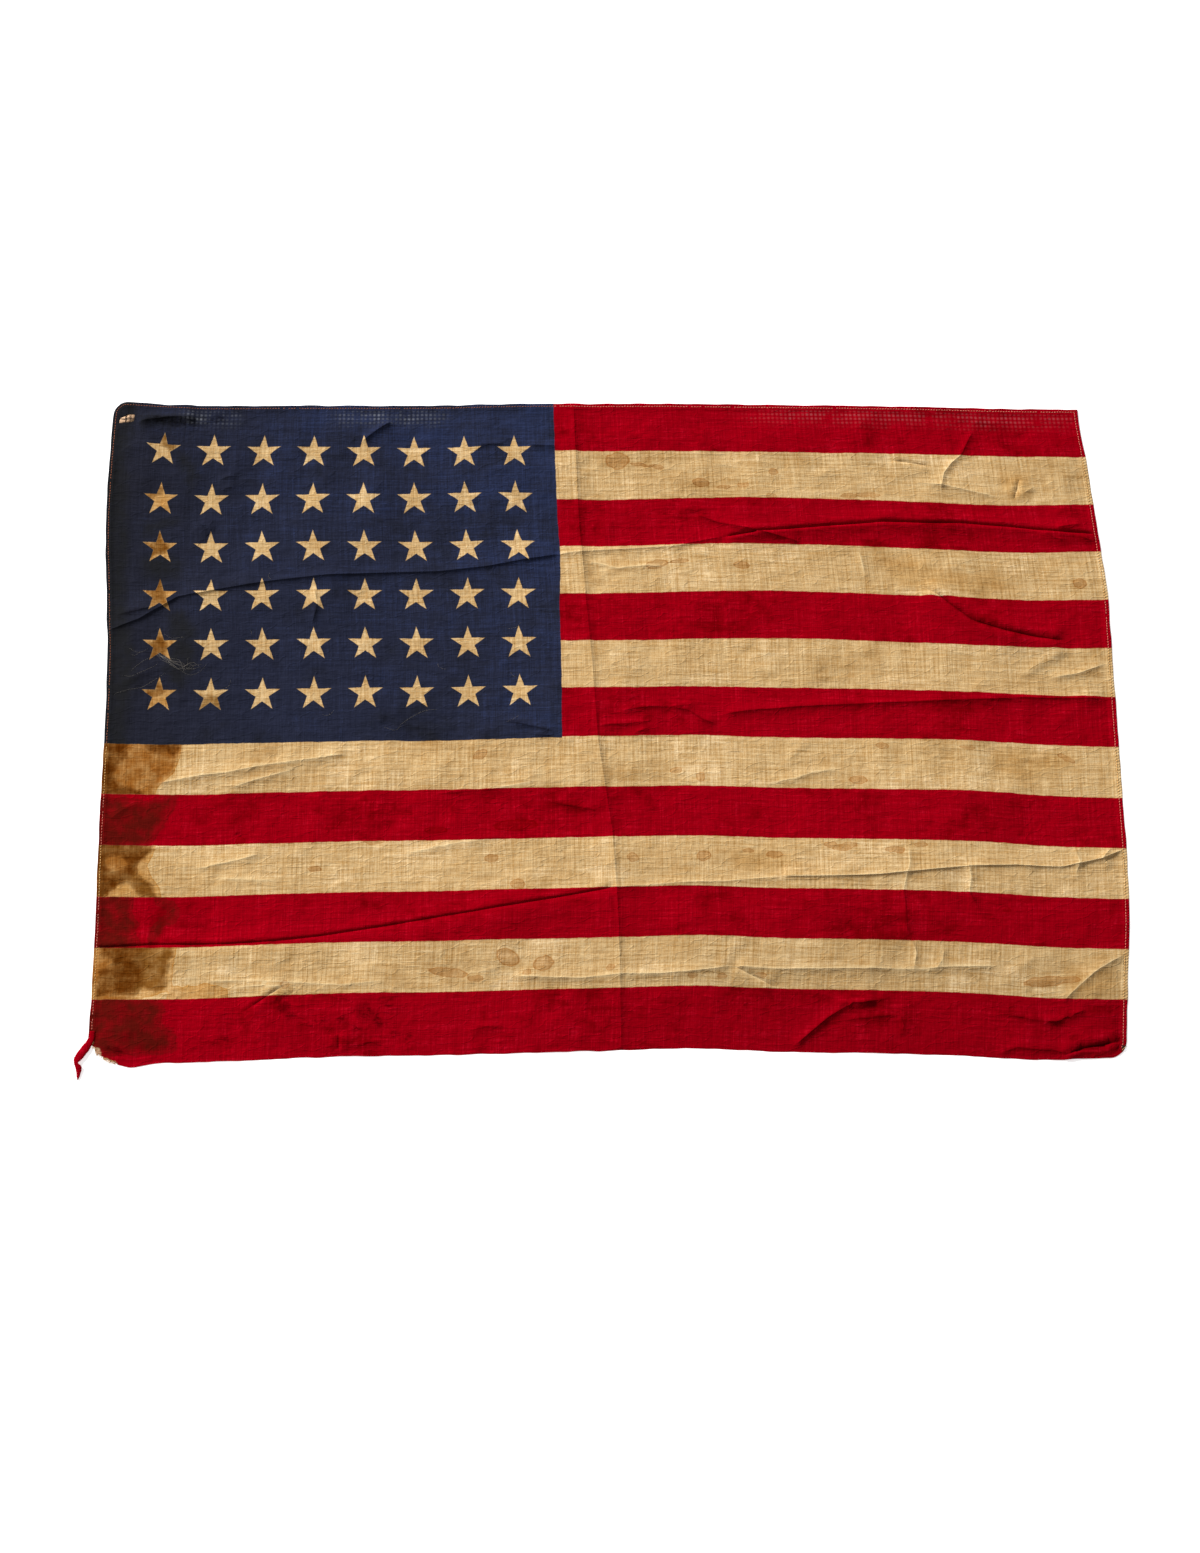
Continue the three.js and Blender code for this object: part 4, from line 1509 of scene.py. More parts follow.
@dataclass(frozen=True)
class HemmedSheet:
    """The printed sheet: one layer of cloth with its hems turned under."""

    plan: ClothPlan
    hem: Hem
    relief: Relief
    torn_edge: tuple[Pair, ...] = (
        (3, 12), (6, 8), (9, 6), (10, 3), (12, 0), (15, -1), (18, -4),
        (20, -4.6), (23, -6), (26, -6.6), (29, -8), (31, -11), (32, -14),
    )
    past_tear: tuple[Pair, ...] = ((32, -60), (-60, -60), (-60, 12))
    hoist_gap: tuple[Pair, ...] = (
        (1.6, 593.4), (15, 593.4), (15.2, 601.4), (9.4, 601.8), (1.6, 597.4),
    )
    fly_gap: tuple[Pair, ...] = ((903.6, 4.6), (906.8, 5.2), (908.2, 9.6), (905.4, 8.8))
    overlap: float = 0.2
    snap_reach: float = 2.2
    rim_reach: float = 2.6
    # How far from a crease's ends its painted shade and highlight fade in.
    crease_shading_taper: float = 14
    cells_before: int = 6
    cells_after: tuple[int, int] = (10, 14)
    waver_reach: float = 3
    map_margin: float = 10

    def columns(self, b: Array) -> list[Zone]:
        """Grid lines across the fly, some of which follow the storage fold.

        Args:
            b: how far up the hoist.

        Returns:
            The runs of cells, in order.
        """
        crest = np.interp(b, [p[1] for p in STORAGE_FOLD], [p[0] for p in STORAGE_FOLD])
        fly, turn, under = self.plan.fly, self.hem.turn, self.hem.width + self.overlap
        return [
            Zone(-under, -turn, 3), Zone(-turn, 0, 3), Zone(0, 6, 6),
            Zone(6, crest - 7, 152), Zone(crest - 7, crest, 7),
            Zone(crest, crest + 7, 7), Zone(crest + 7, fly - 6, 158),
            Zone(fly - 6, fly, 6), Zone(fly, fly + turn, 3),
            Zone(fly + turn, fly + under, 3),
        ]

    def rows(self, a: Array) -> list[Zone]:
        """Grid lines up the hoist, some of which follow the two long folds.

        Args:
            a: how far along the fly.

        Returns:
            The runs of cells, in order.
        """
        low = np.interp(a, *zip(*LOWER_FOLD))
        high = np.interp(a, *zip(*UPPER_FOLD))
        hoist, turn, under = self.plan.hoist, self.hem.turn, self.hem.width + self.overlap
        return [
            Zone(0, 6, 6), Zone(6, low - 6, 40), Zone(low - 6, low, 6),
            Zone(low, low + 6, 6), Zone(low + 6, high - 6, 106),
            Zone(high - 6, high, 6), Zone(high, high + 6, 6),
            Zone(high + 6, hoist - 6, 50), Zone(hoist - 6, hoist, 6),
            Zone(hoist, hoist + turn, 3), Zone(hoist + turn, hoist + under, 3),
        ]

    @staticmethod
    def lines(zones: Sequence[Zone], across: int) -> Array:
        """Grid lines of the zones, one row for each line.

        Args:
            zones: the runs of cells.
            across: how many places each line has.

        Returns:
            The lines.
        """
        made = [np.broadcast_to(zones[0].start, across)]
        for zone in zones:
            for i in range(1, zone.cells + 1):
                share = i / zone.cells
                made.append(
                    np.broadcast_to(zone.start * (1 - share) + zone.end * share, across)
                )
        return np.array(made)

    def grid(self) -> tuple[Array, Array]:
        """Places of the grid on the cut.

        Returns:
            The places along the fly and up the hoist, each a table of column by row.
        """
        mid_a, mid_b = np.array([self.plan.fly / 2]), np.array([self.plan.hoist / 2])
        column_count = len(self.lines(self.columns(mid_b), 1))
        row_count = len(self.lines(self.rows(mid_a), 1))
        a = np.repeat(np.linspace(0, self.plan.fly, column_count)[:, None], row_count, 1)
        b = np.repeat(np.linspace(0, self.plan.hoist, row_count)[None, :], column_count, 0)
        for _ in range(4):
            clamped = np.clip(b, 0, self.plan.hoist)
            for j in range(row_count):
                a[:, j] = self.lines(self.columns(clamped[:, j]), column_count)[
                    np.arange(column_count), np.arange(column_count)
                ]
            clamped = np.clip(a, 0, self.plan.fly)
            for i in range(column_count):
                b[i, :] = self.lines(self.rows(clamped[i, :]), row_count)[
                    np.arange(row_count), np.arange(row_count)
                ]
        return a, b

    def snap(self, a: Array, b: Array, soil: Array) -> set[tuple[int, int]]:
        """Moves the nearest grid points onto each crease.

        Args:
            a: grid places along the fly, changed in place.
            b: grid places up the hoist, changed in place.
            soil: how strongly each grid point is painted as a crease line, with painted shade and
                dirt on the dyes and a painted highlight on bare cloth, changed in place.

        Returns:
            Pairs of grid points that lie next to each other on a crease.
        """
        rows = a.shape[1]
        crests: set[tuple[int, int]] = set()
        for fold in FOLDS:
            points = np.asarray(fold.line, float)
            flat = abs(points[-1, 0] - points[0, 0]) >= abs(points[-1, 1] - points[0, 1])
            order = 0 if flat else 1
            points = points[np.argsort(points[:, order])]
            main, cross = (a, b) if flat else (b.T, a.T)
            wanted = np.interp(main, points[:, order], points[:, 1 - order])
            miss = np.abs(cross - wanted)
            nearest = miss.argmin(axis=1)
            before: tuple[int, int] | None = None
            for i, j in enumerate(nearest):
                inside = points[0, order] <= main[i, j] <= points[-1, order]
                last_i, last_j = np.subtract(main.shape, self.cells_after)
                face = self.cells_before <= i <= last_i and self.cells_before <= j <= last_j
                if not (inside and face) or miss[i, j] > self.snap_reach:
                    before = None
                    continue
                cross[i, j] = wanted[i, j]
                here = (i, j) if flat else (j, i)
                ends = min(main[i, j] - points[0, order], points[-1, order] - main[i, j])
                # Painted crease shade and highlight, fading in from the crease's ends.
                dirt_and_shading_here = fold.soil * min(1.0, 0.15 + ends / self.crease_shading_taper)
                soil[here] = max(soil[here], dirt_and_shading_here if fold.crisp else 0.0)
                if before is not None and fold.crisp:
                    if abs(before[0] - here[0]) <= 1 and abs(before[1] - here[1]) <= 1:
                        pair = (before[0] * rows + before[1], here[0] * rows + here[1])
                        crests.add((min(pair), max(pair)))
                before = here
        return crests

    @staticmethod
    def turned(past: Array, roll: float) -> tuple[Array, Array, Array]:
        """Where cloth past an edge goes.

        Args:
            past: how far past the edge, along the cloth.
            roll: the radius of the rolled edge.

        Returns:
            How far out it lies, how far down, and how far in from the edge.
        """
        past = np.maximum(past, 0)
        angle = np.minimum(past / roll, math.pi)
        under = np.maximum(past - math.pi * roll, 0)
        return roll * np.sin(angle) - under, roll * (1 - np.cos(angle)), under

    def placed(self, a: Array, b: Array) -> tuple[Array, Array, Array]:
        """Where each grid point lies, in laid millimetres.

        Args:
            a: places along the fly.
            b: places up the hoist.

        Returns:
            The places and the heights.
        """
        plan, roll = self.plan, self.hem.roll
        out_h, drop_h, in_h = self.turned(-a, roll)
        out_f, drop_f, in_f = self.turned(a - plan.fly, roll)
        out_t, drop_t, in_t = self.turned(b - plan.hoist, roll)
        face_a = np.clip(a, 0, plan.fly)
        face_b = np.clip(b, 0, plan.hoist)
        z = self.relief.height(face_a + in_h - in_f, face_b - in_t)
        x, y = plan.laid(face_a, face_b)
        near_ends = np.exp(-face_a / self.waver_reach)
        near_ends += np.exp(-(plan.fly - face_a) / self.waver_reach)
        near_sides = np.exp(-(plan.hoist - face_b) / self.waver_reach)
        near_sides += np.exp(-face_b / self.waver_reach)
        x = x + EDGE_WAVER.lift(np.zeros_like(b), b) * near_ends
        y = y + EDGE_WAVER.lift(a, np.ones_like(a)) * near_sides
        x = x - out_h + out_f
        y = y + out_t
        z = z - drop_h - drop_f - drop_t
        return x, y, np.maximum(z, LEAST_HEIGHT)

    @staticmethod
    def to_outline(outline: Sequence[Pair], x: float, y: float) -> tuple[float, float]:
        """The point of the outline nearest to a point.

        Args:
            outline: its corners, in order.
            x: the point along the fly.
            y: the point up the hoist.

        Returns:
            The nearest point.
        """
        best, found = 1e9, (x, y)
        points = np.asarray(outline, float)
        for start, end in zip(points, np.roll(points, -1, axis=0)):
            _, dx, dy = from_line(x, y, start, end)
            if math.hypot(dx, dy) < best:
                best, found = math.hypot(dx, dy), (x - dx, y - dy)
        return found

    def build(self) -> bpy.types.Object:
        """Makes the sheet.

        Returns:
            The sheet, with its place on the cut on every vertex.
        """
        a, b = self.grid()
        soil = np.zeros_like(a)
        crests = self.snap(a, b, soil)
        x, y, z = self.placed(a, b)
        columns, rows = a.shape
        cuts = [self.torn_edge + self.past_tear, self.hoist_gap, self.fly_gap]
        number = np.arange(columns * rows).reshape(columns, rows)
        corners = np.stack(
            [number[:-1, :-1], number[1:, :-1], number[1:, 1:], number[:-1, 1:]], -1
        ).reshape(-1, 4)
        fx, fy = x.ravel(), y.ravel()
        mid_x, mid_y = fx[corners].mean(1), fy[corners].mean(1)
        flat_a, flat_b = a.ravel(), b.ravel()
        past_side = (flat_a[corners].mean(1) < 0) | (flat_a[corners].mean(1) > self.plan.fly)
        gone = past_side & (flat_b[corners].mean(1) > self.plan.hoist)
        for outline in cuts:
            cut = inside_outline(outline, mid_x, mid_y)
            rim = np.intersect1d(corners[cut & ~gone], corners[~cut & ~gone])
            for v in rim:
                px, py = self.to_outline(outline, fx[v], fy[v])
                if math.hypot(px - fx[v], py - fy[v]) < self.rim_reach:
                    fx[v], fy[v] = px, py
            gone |= cut
        corners = corners[~gone]
        faces: list[tuple[int, ...]] = []
        for p, q, r, s in corners.tolist():
            if (min(p, r), max(p, r)) in crests:
                faces += [(p, q, r), (p, r, s)]
            elif (min(q, s), max(q, s)) in crests:
                faces += [(p, q, s), (q, r, s)]
            else:
                faces.append((p, q, r, s))
        used = np.unique(corners)
        renumber = np.full(columns * rows, -1)
        renumber[used] = np.arange(len(used))
        faces = [tuple(renumber[list(f)]) for f in faces]
        points = self.plan.in_frame(fx[used], fy[used], z.ravel()[used])
        cloth = cloth_places(self.plan, flat_a[used], flat_b[used])
        sheet = mesh_piece("flag_sheet", points, faces, cloth)
        self.sharpen(sheet.data, {tuple(renumber[list(pair)]) for pair in crests})
        self.flat_map(sheet.data, cloth)
        self.paint(sheet.data, CREASE_DIRT_AND_SHADING, soil.ravel()[used])
        for kind in StainKind:
            depth = self.stained(kind, cloth[:, 0], cloth[:, 1])
            self.paint(sheet.data, STAIN_NAME.format(kind.name.lower()), depth)
        return sheet

    @staticmethod
    def stained(kind: StainKind, a: Array, down: Array) -> Array:
        """How deep each place is in stains of a kind, in mm over STAIN_REACH outside.

        Args:
            kind: the kind of stain.
            a: distances from the hoist.
            down: distances from the top edge.

        Returns:
            The depth plus STAIN_REACH, never under nought.
        """
        depth = np.full(a.shape, -STAIN_REACH)
        stains = [stain for stain in STAINS if stain.kind is kind]
        for stain in stains:
            if not stain.spared:
                depth = np.maximum(depth, stain.depth(a, down))
        for stain in stains:
            if stain.spared:
                depth = np.minimum(depth, -stain.depth(a, down))
        return np.maximum(depth + STAIN_REACH, 0)

    @staticmethod
    def paint(mesh: bpy.types.Mesh, name: str, values: Array) -> None:
        """Keeps a number on every vertex, for the finish to read.

        Args:
            mesh: the sheet.
            name: what the number is called.
            values: one for each vertex.
        """
        layer = mesh.attributes.new(name, "FLOAT", "POINT")
        layer.data.foreach_set("value", values.astype(np.float32))

    def sharpen(self, mesh: bpy.types.Mesh, crests: set[tuple[int, int]]) -> None:
        """Marks the pressed lines of the creases, so that light breaks on them.

        Args:
            mesh: the sheet.
            crests: pairs of vertex numbers.
        """
        pairs = {(min(p), max(p)) for p in crests if min(p) >= 0}
        ends = np.zeros(len(mesh.edges) * 2, int)
        mesh.edges.foreach_get("vertices", ends)
        sharp = [(min(p), max(p)) in pairs for p in ends.reshape(-1, 2).tolist()]
        mark = mesh.attributes.get("sharp_edge") or mesh.attributes.new(
            "sharp_edge", "BOOLEAN", "EDGE"
        )
        mark.data.foreach_set("value", np.array(sharp))

    def flat_map(self, mesh: bpy.types.Mesh, cloth: Array) -> None:
        """Lays the cut out flat as the map for the finished colours.

        Args:
            mesh: the sheet.
            cloth: the place on the cut of each vertex.
        """
        layer = mesh.uv_layers.new(name=BAKE_MAP)
        owner = np.zeros(len(mesh.loops), int)
        mesh.loops.foreach_get("vertex_index", owner)
        margin = self.map_margin
        side = self.plan.fly + 2 * margin
        u = (cloth[:, 0] + margin) / side
        v = (self.plan.hoist - cloth[:, 1] + margin) / side
        layer.data.foreach_set("uv", np.stack([u, v], -1)[owner].astype(np.float32).ravel())


def tube(
    path: Sequence[Sequence[float]],
    radii: Sequence[float],
    sides: int,
    first: int,
    flatten: float = 1.0,
) -> tuple[list[list[float]], list[tuple[int, ...]]]:
    """A closed tube along a path.

    Args:
        path: its centre line, in millimetres.
        radii: its radius at each point of the path.
        sides: how many sides it has.
        first: the number of its first vertex.
        flatten: its height as a share of its width.

    Returns:
        Its vertices and faces.
    """
    line = np.asarray(path, float)
    ahead = np.gradient(line, axis=0)
    ahead[:, 2] *= TUBE_CLIMB
    ahead /= np.linalg.norm(ahead, axis=1, keepdims=True) + 1e-9
    across = np.stack([-ahead[:, 1], ahead[:, 0], np.zeros(len(line))], -1)
    across /= np.linalg.norm(across, axis=1, keepdims=True) + 1e-9
    upward = np.cross(ahead, across)
    vertices: list[list[float]] = []
    faces: list[tuple[int, ...]] = []
    for k, centre in enumerate(line):
        for s in range(sides):
            angle = 2 * math.pi * (s + 0.5) / sides
            spoke = across[k] * math.cos(angle) + upward[k] * math.sin(angle) * flatten
            vertices.append(list(centre + spoke * radii[k]))
    for k in range(len(line) - 1):
        for s in range(sides):
            here, after = first + k * sides, first + (k + 1) * sides
            n = (s + 1) % sides
            faces.append((here + s, here + n, after + n, after + s))
    faces.append(tuple(first + s for s in reversed(range(sides))))
    faces.append(tuple(first + (len(line) - 1) * sides + s for s in range(sides)))
    return vertices, faces


@dataclass(frozen=True)
class HemStitches:
    """The machine stitches of the three hems, each a short fat thread."""

    plan: ClothPlan
    relief: Relief
    pitch: float = 2.55
    length: float = 2.15
    radius: float = 0.36
    sides: int = 5
    skipped: float = 0.03
    wobble: float = 0.10
    slant: float = 0.12
    from_corner: float = 3
    hoist_start: float = 18
    fly_start: float = 9
    top_inset: float = 2.6
    hoist_inset: float = 2.3
    fly_inset: float = 3.0

    def seams(self) -> list[Array]:
        """The stitch lines on the cut.

        Returns:
            One for each hem, as rows of (a, b).
        """
        fly, hoist = self.plan.fly, self.plan.hoist
        top = np.arange(self.from_corner, fly - self.from_corner, self.pitch)
        side = np.arange(self.hoist_start, hoist - self.from_corner, self.pitch)
        fly_side = np.arange(self.fly_start, hoist - self.from_corner, self.pitch)
        return [
            np.stack([top, np.full_like(top, hoist - self.top_inset)], -1),
            np.stack([np.full_like(side, self.hoist_inset), side], -1),
            np.stack([np.full_like(fly_side, fly - self.fly_inset), fly_side], -1),
        ]

    def build(self) -> bpy.types.Object:
        """Makes every stitch.

        Returns:
            One piece that holds them all.
        """
        chance = np.random.default_rng(71)
        profile = np.array(
            [(-0.5, 0.35, -0.3), (-0.3, 0.9, 0.05), (0, 1, 0.14), (0.3, 0.9, 0.05), (0.5, 0.35, -0.3)]
        )
        rows: list[Array] = []
        for seam in self.seams():
            ahead = (seam[-1] - seam[0]) / np.linalg.norm(seam[-1] - seam[0])
            kept = seam[chance.random(len(seam)) > self.skipped]
            wobble = chance.normal(0, self.wobble, (len(kept), 1, 2))
            slant = chance.normal(0, self.slant, (len(kept), 1, 1))
            slant = np.array([-ahead[1], ahead[0]]) * slant
            reach = profile[None, :, :1]
            rows.append(kept[:, None, :] + wobble + ahead * reach * self.length + slant * reach * 2)
        spots = np.concatenate(rows)
        x, y = self.plan.laid(spots[..., 0], spots[..., 1])
        z = self.relief.height(spots[..., 0], spots[..., 1]) + profile[:, 2]
        vertices: list[list[float]] = []
        faces: list[tuple[int, ...]] = []
        for line in np.stack([x, y, z], -1):
            made, walls = tube(line, self.radius * profile[:, 1], self.sides, len(vertices))
            vertices += made
            faces += walls
        on_cut = np.repeat(spots.reshape(-1, 2), self.sides, axis=0)
        points = np.asarray(vertices)
        cloth = cloth_places(self.plan, *on_cut.T)
        return mesh_piece("hem_stitches", self.plan.in_frame(*points.T), faces, cloth)


@dataclass(frozen=True)
class HemTail:
    """The strip of hoist hem that hangs from the torn corner, folded over once.

    Each row of line is a point of its centre line and its half width there.
    """

    plan: ClothPlan
    line: tuple[tuple[float, ...], ...] = (
        (6.6, 20, 1.3, 2.2), (6.2, 15, 1.3, 2.5), (4.6, 10.5, 1.4, 3.0),
        (2.0, 6.0, 1.5, 3.5), (-0.8, 2.0, 1.6, 3.6), (-3.6, -2.0, 1.7, 3.5),
        (-5.6, -5.2, 1.9, 2.9), (-6.1, -7.6, 2.3, 1.9), (-5.4, -9.6, 2.2, 2.1),
        (-4.0, -11.6, 1.7, 2.7), (-3.6, -14.0, 1.3, 2.5), (-3.7, -17.0, 1.1, 1.9),
        (-3.9, -20.0, 1.0, 1.3), (-4.1, -22.6, 0.8, 0.35),
    )
    steps: int = 53
    sides: int = 14
    flatten: float = 0.30
    ragged: float = 0.10
    least_height: float = 0.05
    print_start: float = 596
    print_stretch: float = 0.6

    def build(self) -> bpy.types.Object:
        """Makes the strip.

        Returns:
            The strip, in the colour of the lowest stripe.
        """
        rows = np.asarray(self.line)
        fine = np.linspace(0, 1, self.steps)
        smooth = np.stack([along_stations(rows[:, k], fine) for k in range(4)], -1)
        chance = np.random.default_rng(9)
        smooth[:, 3] += chance.normal(0, self.ragged, len(fine))
        made, faces = tube(smooth[:, :3], smooth[:, 3], self.sides, 0, self.flatten)
        points = np.asarray(made)
        points[:, 2] = np.maximum(points[:, 2], self.least_height)
        down = self.print_start - points[:, 1] * self.print_stretch
        cloth = np.stack([points[:, 0], down, np.zeros(len(points))], -1)
        return mesh_piece("hem_tail", self.plan.in_frame(*points.T), faces, cloth)


@dataclass
class Strands:
    """Fine loose strands that lie on the cloth or stick out of it."""

    name: str
    plan: ClothPlan
    sides: int = 4
    vertices: list[list[float]] = field(default_factory=list)
    faces: list[tuple[int, ...]] = field(default_factory=list)

    def add(self, path: Array, radius: float) -> None:
        """Adds a strand that thins towards its ends.

        Args:
            path: its centre line, in laid millimetres.
            radius: its radius in the middle.
        """
        share = np.linspace(0, 1, len(path))
        radii = radius * (0.45 + 0.55 * np.sin(np.pi * share) ** 0.5)
        made, faces = tube(path, radii, self.sides, len(self.vertices))
        self.vertices += made
        self.faces += faces

    def build(self) -> bpy.types.Object:
        """Makes the bundle.

        Returns:
            One piece that holds the strands.
        """
        points = np.asarray(self.vertices)
        points[:, 2] = np.maximum(points[:, 2], LEAST_HEIGHT)
        return mesh_piece(self.name, self.plan.in_frame(*points.T), self.faces)


def curl(start: Pair, end: Pair, bow: float, steps: int, seed: int) -> Array:
    """A bowed line with small wavers, as rows of two numbers.

    Args:
        start: its first point.
        end: its last point.
        bow: how far it bows, as a share of its length.
        steps: how many points it has.
        seed: fixes the wavers.

    Returns:
        The points.
    """
    chance = np.random.default_rng(seed)
    share = np.linspace(0, 1, steps)[:, None]
    line = np.array(start) * (1 - share) + np.array(end) * share
    ahead = np.array(end, float) - np.array(start, float)
    across = np.array([-ahead[1], ahead[0]])
    line = line + across * bow * np.sin(np.pi * share)
    waves = chance.uniform(0, 2 * math.pi, 2)
    waver = np.sin(share * chance.uniform(5, 9) + waves) - np.sin(waves)
    return line + waver * 0.035 * np.linalg.norm(ahead)


@dataclass(frozen=True)
class FrayedYarns:
    """Broken yarns at the torn corner and those left across the worn holes.

    aim is in degrees. Pairs are the least and the most of what varies. Each row of
    corner and across is a start, an end and a radius.
    """

    plan: ClothPlan
    relief: Relief
    torn_edge: tuple[Pair, ...]
    count: int = 64
    radius: float = 0.22
    root: float = 1.2
    aim: Pair = (190, 300)
    reach: Pair = (0.8, 2.6)
    bow: Pair = (-0.25, 0.25)
    root_height: float = 0.75
    tip_height: Pair = (0.2, 1.3)
    corner_lift: float = 0.4
    across_lift: float = 0.25
    corner: tuple[tuple[Pair, Pair, float], ...] = (
        ((4.6, 13.4), (7.6, 8.4), 0.42), ((3.6, 11.6), (8.8, 10.2), 0.36),
        ((6.2, 13.6), (6.6, 7.6), 0.36), ((904.2, 2.8), (907.6, 6.8), 0.3),
    )
    across: tuple[tuple[Pair, Pair, float], ...] = (
        ((6.4, 592.4), (6.8, 601.6), 0.34), ((10.9, 592.4), (10.6, 602.4), 0.34),
        ((1.0, 597.5), (15.8, 597.2), 0.3),
        ((903, 3.0), (908, 9.6), 0.22), ((902.6, 7.6), (908.8, 6.4), 0.22),
        ((906, 9), (904, 12), 0.22),
    )

    def build_pale(self) -> bpy.types.Object:
        """The pale broken ends along the tear.

        Returns:
            One piece that holds them.
        """
        chance = np.random.default_rng(17)
        strands = Strands("frayed_yarns", self.plan)
        edge = np.asarray(self.torn_edge[:-2], float)
        for n in range(self.count):
            place = chance.uniform(0, len(edge) - 1.001)
            k = int(place)
            root = edge[k] + (edge[k + 1] - edge[k]) * (place - k)
            aim = math.radians(chance.uniform(*self.aim))
            reach = chance.uniform(*self.reach)
            ahead = np.array([math.cos(aim), math.sin(aim)])
            tip, back = root + reach * ahead, root - self.root * ahead
            flat = curl(tuple(back), tuple(tip), chance.uniform(*self.bow), 6, n)
            z = np.linspace(self.root_height, chance.uniform(*self.tip_height), 6)
            strands.add(np.column_stack([flat, z]), self.radius)
        for n, (start, end, radius) in enumerate(self.corner):
            flat = curl(start, end, 0.05, 7, 80 + n)
            z = self.relief.height(*flat.T) + self.corner_lift
            strands.add(np.column_stack([flat, z]), radius)
        return strands.build()

    def build_dark(self) -> bpy.types.Object:
        """The dark yarns left across the worn holes.

        Returns:
            One piece that holds them.
        """
        strands = Strands("hole_yarns", self.plan)
        for n, (start, end, radius) in enumerate(self.across):
            flat = curl(start, end, 0.01, 9, 40 + n)
            z = self.relief.height(*flat.T) + self.across_lift
            strands.add(np.column_stack([flat, z]), radius)
        return strands.build()


@dataclass(frozen=True)
class HemLining:
    """The turned-under cloth that shows through the worn places at the corners."""

    plan: ClothPlan
    relief: Relief
    spread: float = 1.14
    below: float = 0.25
    thickness: float = 0.14
    lowest: float = 0.2

    def build(self, name: str, outline: Sequence[Pair]) -> bpy.types.Object:
        """Makes a thin patch, a little larger than a worn place.

        Args:
            name: the name of the piece.
            outline: the rim of the worn place, in laid millimetres.

        Returns:
            The patch.
        """
        middle = np.mean(outline, 0)
        x, y = (middle + (np.asarray(outline, float) - middle) * self.spread).T
        count = len(x)
        faces = [tuple(range(count))[::-1], tuple(range(count, 2 * count))]
        for i in range(count):
            j = (i + 1) % count
            faces.append((i, j, count + j, count + i))
        top = np.maximum(self.relief.height(x, y).min() - self.below, self.lowest)
        z = np.repeat([top - self.thickness, top], count)
        points = self.plan.in_frame(np.tile(x, 2), np.tile(y, 2), z)
        return mesh_piece(name, points, faces)


@dataclass(frozen=True)
class LintClump:
    """Fibres that start round one place (a, down) and end round another."""

    count: int
    start: Pair
    start_scatter: Pair
    end: Pair
    end_scatter: Pair
    bow: float
    radius: float
    seed: int


@dataclass(frozen=True)
class LooseLint:
    """White lint caught on the star field.

    Each row of single is a start and an end (a, down), and a bow.
    """

    plan: ClothPlan
    relief: Relief
    lift: float = 0.12
    sides: int = 3
    steps: int = 14
    clumps: tuple[LintClump, ...] = (
        LintClump(10, (48, 242), (1.8, 1.4), (70, 255), (4.0, 2.2), 0.10, 0.10, 0),
        LintClump(9, (68, 255), (2, 1.5), (82, 252), (6, 5), 0.15, 0.07, 60),
    )
    single_radius: float = 0.085
    single: tuple[tuple[Pair, Pair, float], ...] = (
        ((20, 237), (38, 236), 0.16), ((14, 262), (48, 248), 0.12),
        ((22, 258), (44, 245), -0.10), ((6, 280), (52, 260), 0.05),
        ((22, 243), (30, 239), 0.2), ((52, 222), (70, 225), 0.1),
        ((106, 274), (113, 265), 0.1), ((131, 219), (131.5, 223), 0.1),
        ((266, 311), (302, 296), -0.18), ((252, 312), (268, 311), 0.2),
        ((364, 221), (377, 215), 0.1), ((362, 310), (373, 304), 0.05),
        ((150, 165), (152, 172), 0.3), ((300, 252), (308, 258), 0.2),
        ((366, 262), (372, 266), 0.2), ((196, 300), (206, 296), 0.2),
    )

    def on_cloth(self, start: Pair, end: Pair, bow: float, seed: int) -> Array:
        """A fibre that lies on the cloth.

        Args:
            start: one end, as a distance from the hoist and one from the top edge.
            end: the other end.
            bow: how far it bows, as a share of its length.
            seed: fixes its wavers.

        Returns:
            Its centre line, in laid millimetres.
        """
        flat = curl(start, end, bow, self.steps, seed)
        a, b = flat[:, 0], self.plan.hoist - flat[:, 1]
        x, y = self.plan.laid(a, b)
        return np.column_stack([x, y, self.relief.height(a, b) + self.lift])

    def build(self) -> bpy.types.Object:
        """Makes the fibres.

        Returns:
            One piece that holds them.
        """
        chance = np.random.default_rng(31)
        strands = Strands("loose_lint", self.plan, self.sides)
        for clump in self.clumps:
            for n in range(clump.count):
                start = tuple(chance.normal(clump.start, clump.start_scatter))
                end = tuple(chance.normal(clump.end, clump.end_scatter))
                bow = chance.normal(0, clump.bow)
                fibre = self.on_cloth(start, end, bow, clump.seed + n)
                strands.add(fibre, clump.radius)
        for n, (start, end, bow) in enumerate(self.single):
            strands.add(self.on_cloth(start, end, bow, 90 + n), self.single_radius)
        return strands.build()


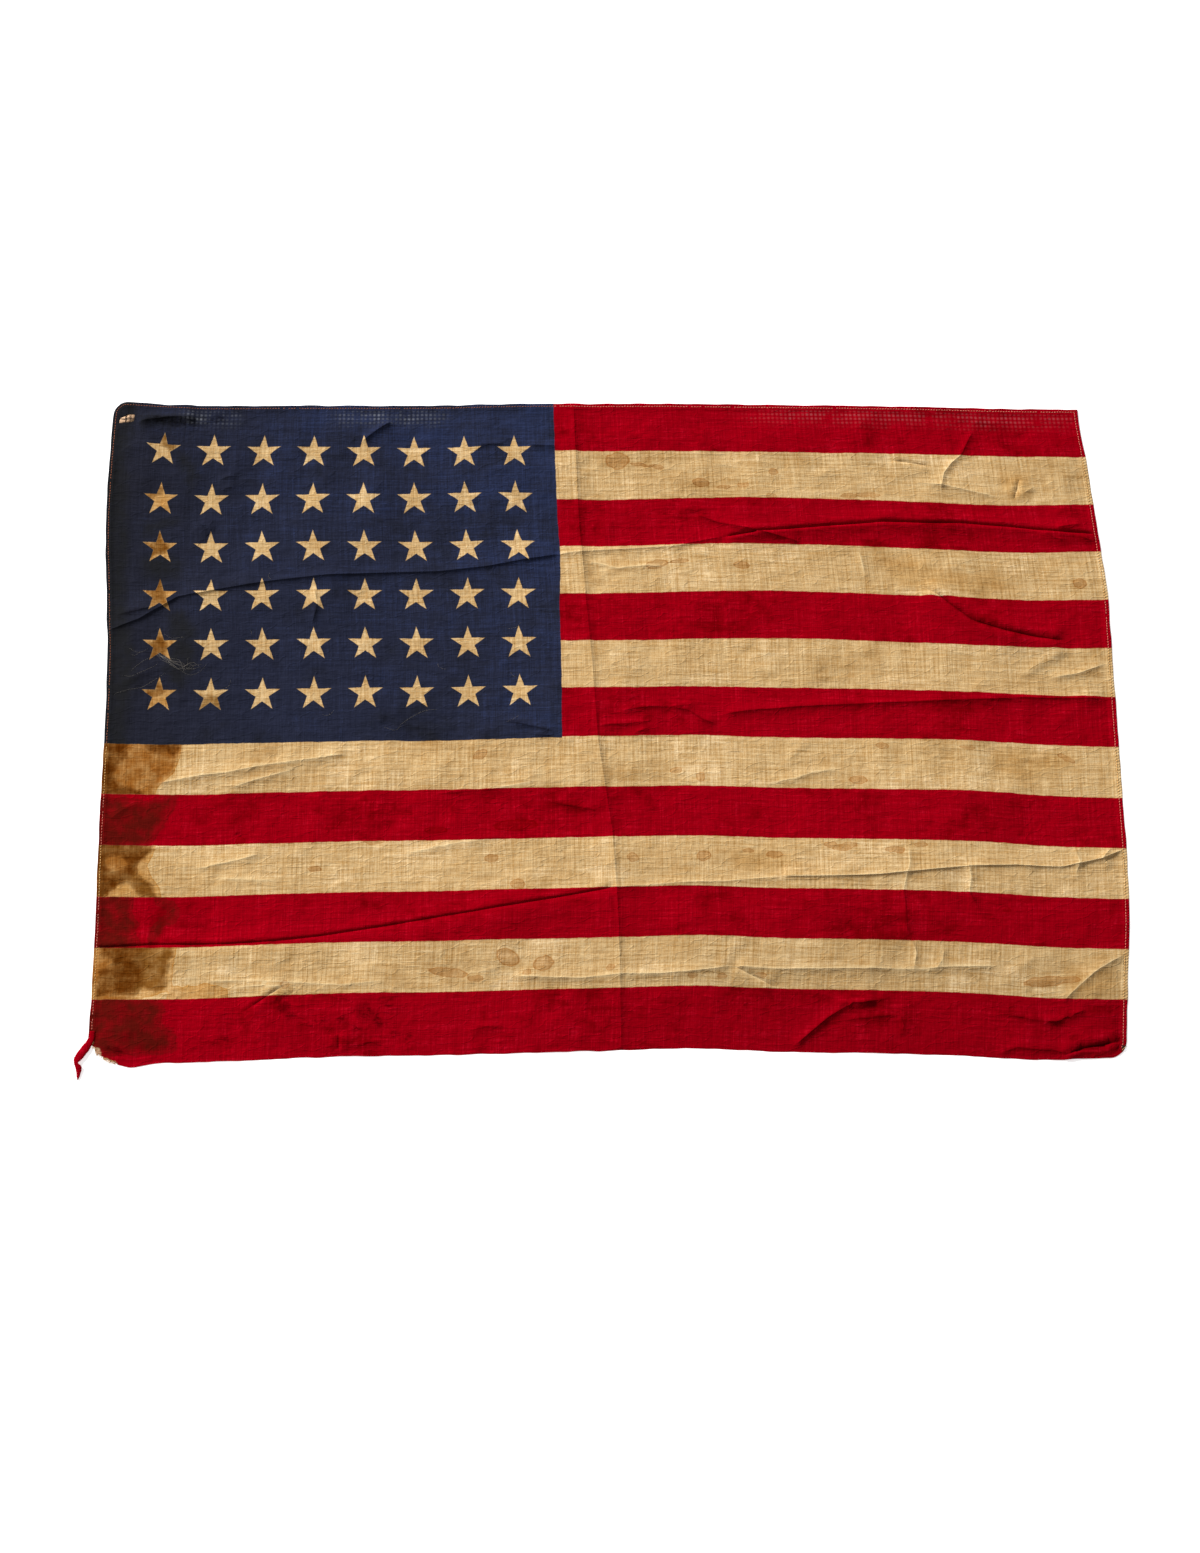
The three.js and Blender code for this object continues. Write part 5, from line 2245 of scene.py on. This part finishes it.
@dataclass(frozen=True)
class Studio:
    """Camera and soft light over the table, in metres."""

    aim_mm: Pair = (449.5, 251.0)
    reach: float = 2.280
    lean: float = 15.4
    lens: float = 58.9
    key_strength: float = 5.2
    key_width: float = 9
    key_toward: tuple[float, float, float] = (0.68, -0.64, -0.50)
    sky_strength: float = 0.29

    def build(self, plan: ClothPlan) -> None:
        """Sets up the camera, the light and the sky.

        Args:
            plan: places the camera's aim on the laid cloth.
        """
        scene = bpy.context.scene
        aim = Vector(plan.in_frame(*np.array([*self.aim_mm, 0.0])))
        lean = math.radians(self.lean)
        eye = aim + self.reach * Vector((0, -math.sin(lean), math.cos(lean)))
        camera = bpy.data.objects.new("camera", bpy.data.cameras.new("camera"))
        camera.data.sensor_width = 36.0
        camera.data.lens = self.lens
        camera.data.clip_end = 50
        camera.location = eye
        camera.rotation_euler = (aim - eye).to_track_quat("-Z", "Y").to_euler()
        scene.collection.objects.link(camera)
        scene.camera = camera

        key = bpy.data.lights.new("key_light", "SUN")
        key.energy = self.key_strength
        key.angle = math.radians(self.key_width)
        lamp = bpy.data.objects.new("key_light", key)
        lamp.rotation_euler = Vector(self.key_toward).to_track_quat("-Z", "Y").to_euler()
        scene.collection.objects.link(lamp)

        world = bpy.data.worlds.new("studio")
        world.use_nodes = True
        sky = world.node_tree.nodes["Background"]
        sky.inputs[0].default_value = (1, 1, 1, 1)
        sky.inputs[1].default_value = self.sky_strength
        scene.world = world
        scene.view_settings.view_transform = "Standard"


def dress(piece: bpy.types.Object, material: bpy.types.Material) -> None:
    """Gives a piece its finish and lets it go with the cloth.

    Args:
        piece: the piece.
        material: its finish.
    """
    piece.data.materials.append(material)
    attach(piece, "root")
    LOG.info("%s: %d faces", piece.name, len(piece.data.polygons))


def main() -> None:
    """Builds the studio, the sheet and all that is on it."""
    logging.basicConfig(level=logging.INFO, format="%(name)s: %(message)s")
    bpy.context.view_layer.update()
    plan = ClothPlan()
    hem = Hem()
    relief = Relief(plan, hem)
    layout = FlagPrint()
    Studio().build(plan)
    Tabletop().build()

    cotton = PrintedCotton(layout).make()
    thread = HemThread(layout).make()
    sheet_maker = HemmedSheet(plan, hem, relief)
    sheet = sheet_maker.build()
    dress(sheet, cotton)
    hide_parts("flag_cloth")
    stitches = HemStitches(plan, relief).build()
    dress(stitches, thread)
    tail = HemTail(plan).build()
    dress(tail, cotton)
    frays = FrayedYarns(plan, relief, sheet_maker.torn_edge)
    pale = frays.build_pale()
    dress(pale, BareYarn("pale_yarn", ink(190, 150, 100)).make())
    dark = frays.build_dark()
    dress(dark, BareYarn("dark_yarn", ink(40, 36, 40)).make())
    lining = HemLining(plan, relief)
    upper = lining.build("hoist_lining", sheet_maker.hoist_gap)
    dress(upper, BareYarn("pale_lining", ink(204, 168, 134)).make())
    lower = lining.build("fly_lining", sheet_maker.fly_gap)
    dress(lower, BareYarn("dark_lining", ink(58, 44, 38)).make())
    lint = LooseLint(plan, relief).build()
    dress(lint, BareYarn("white_lint", ink(128, 122, 116)).make())
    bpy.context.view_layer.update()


if __name__ == "__main__":
    main()
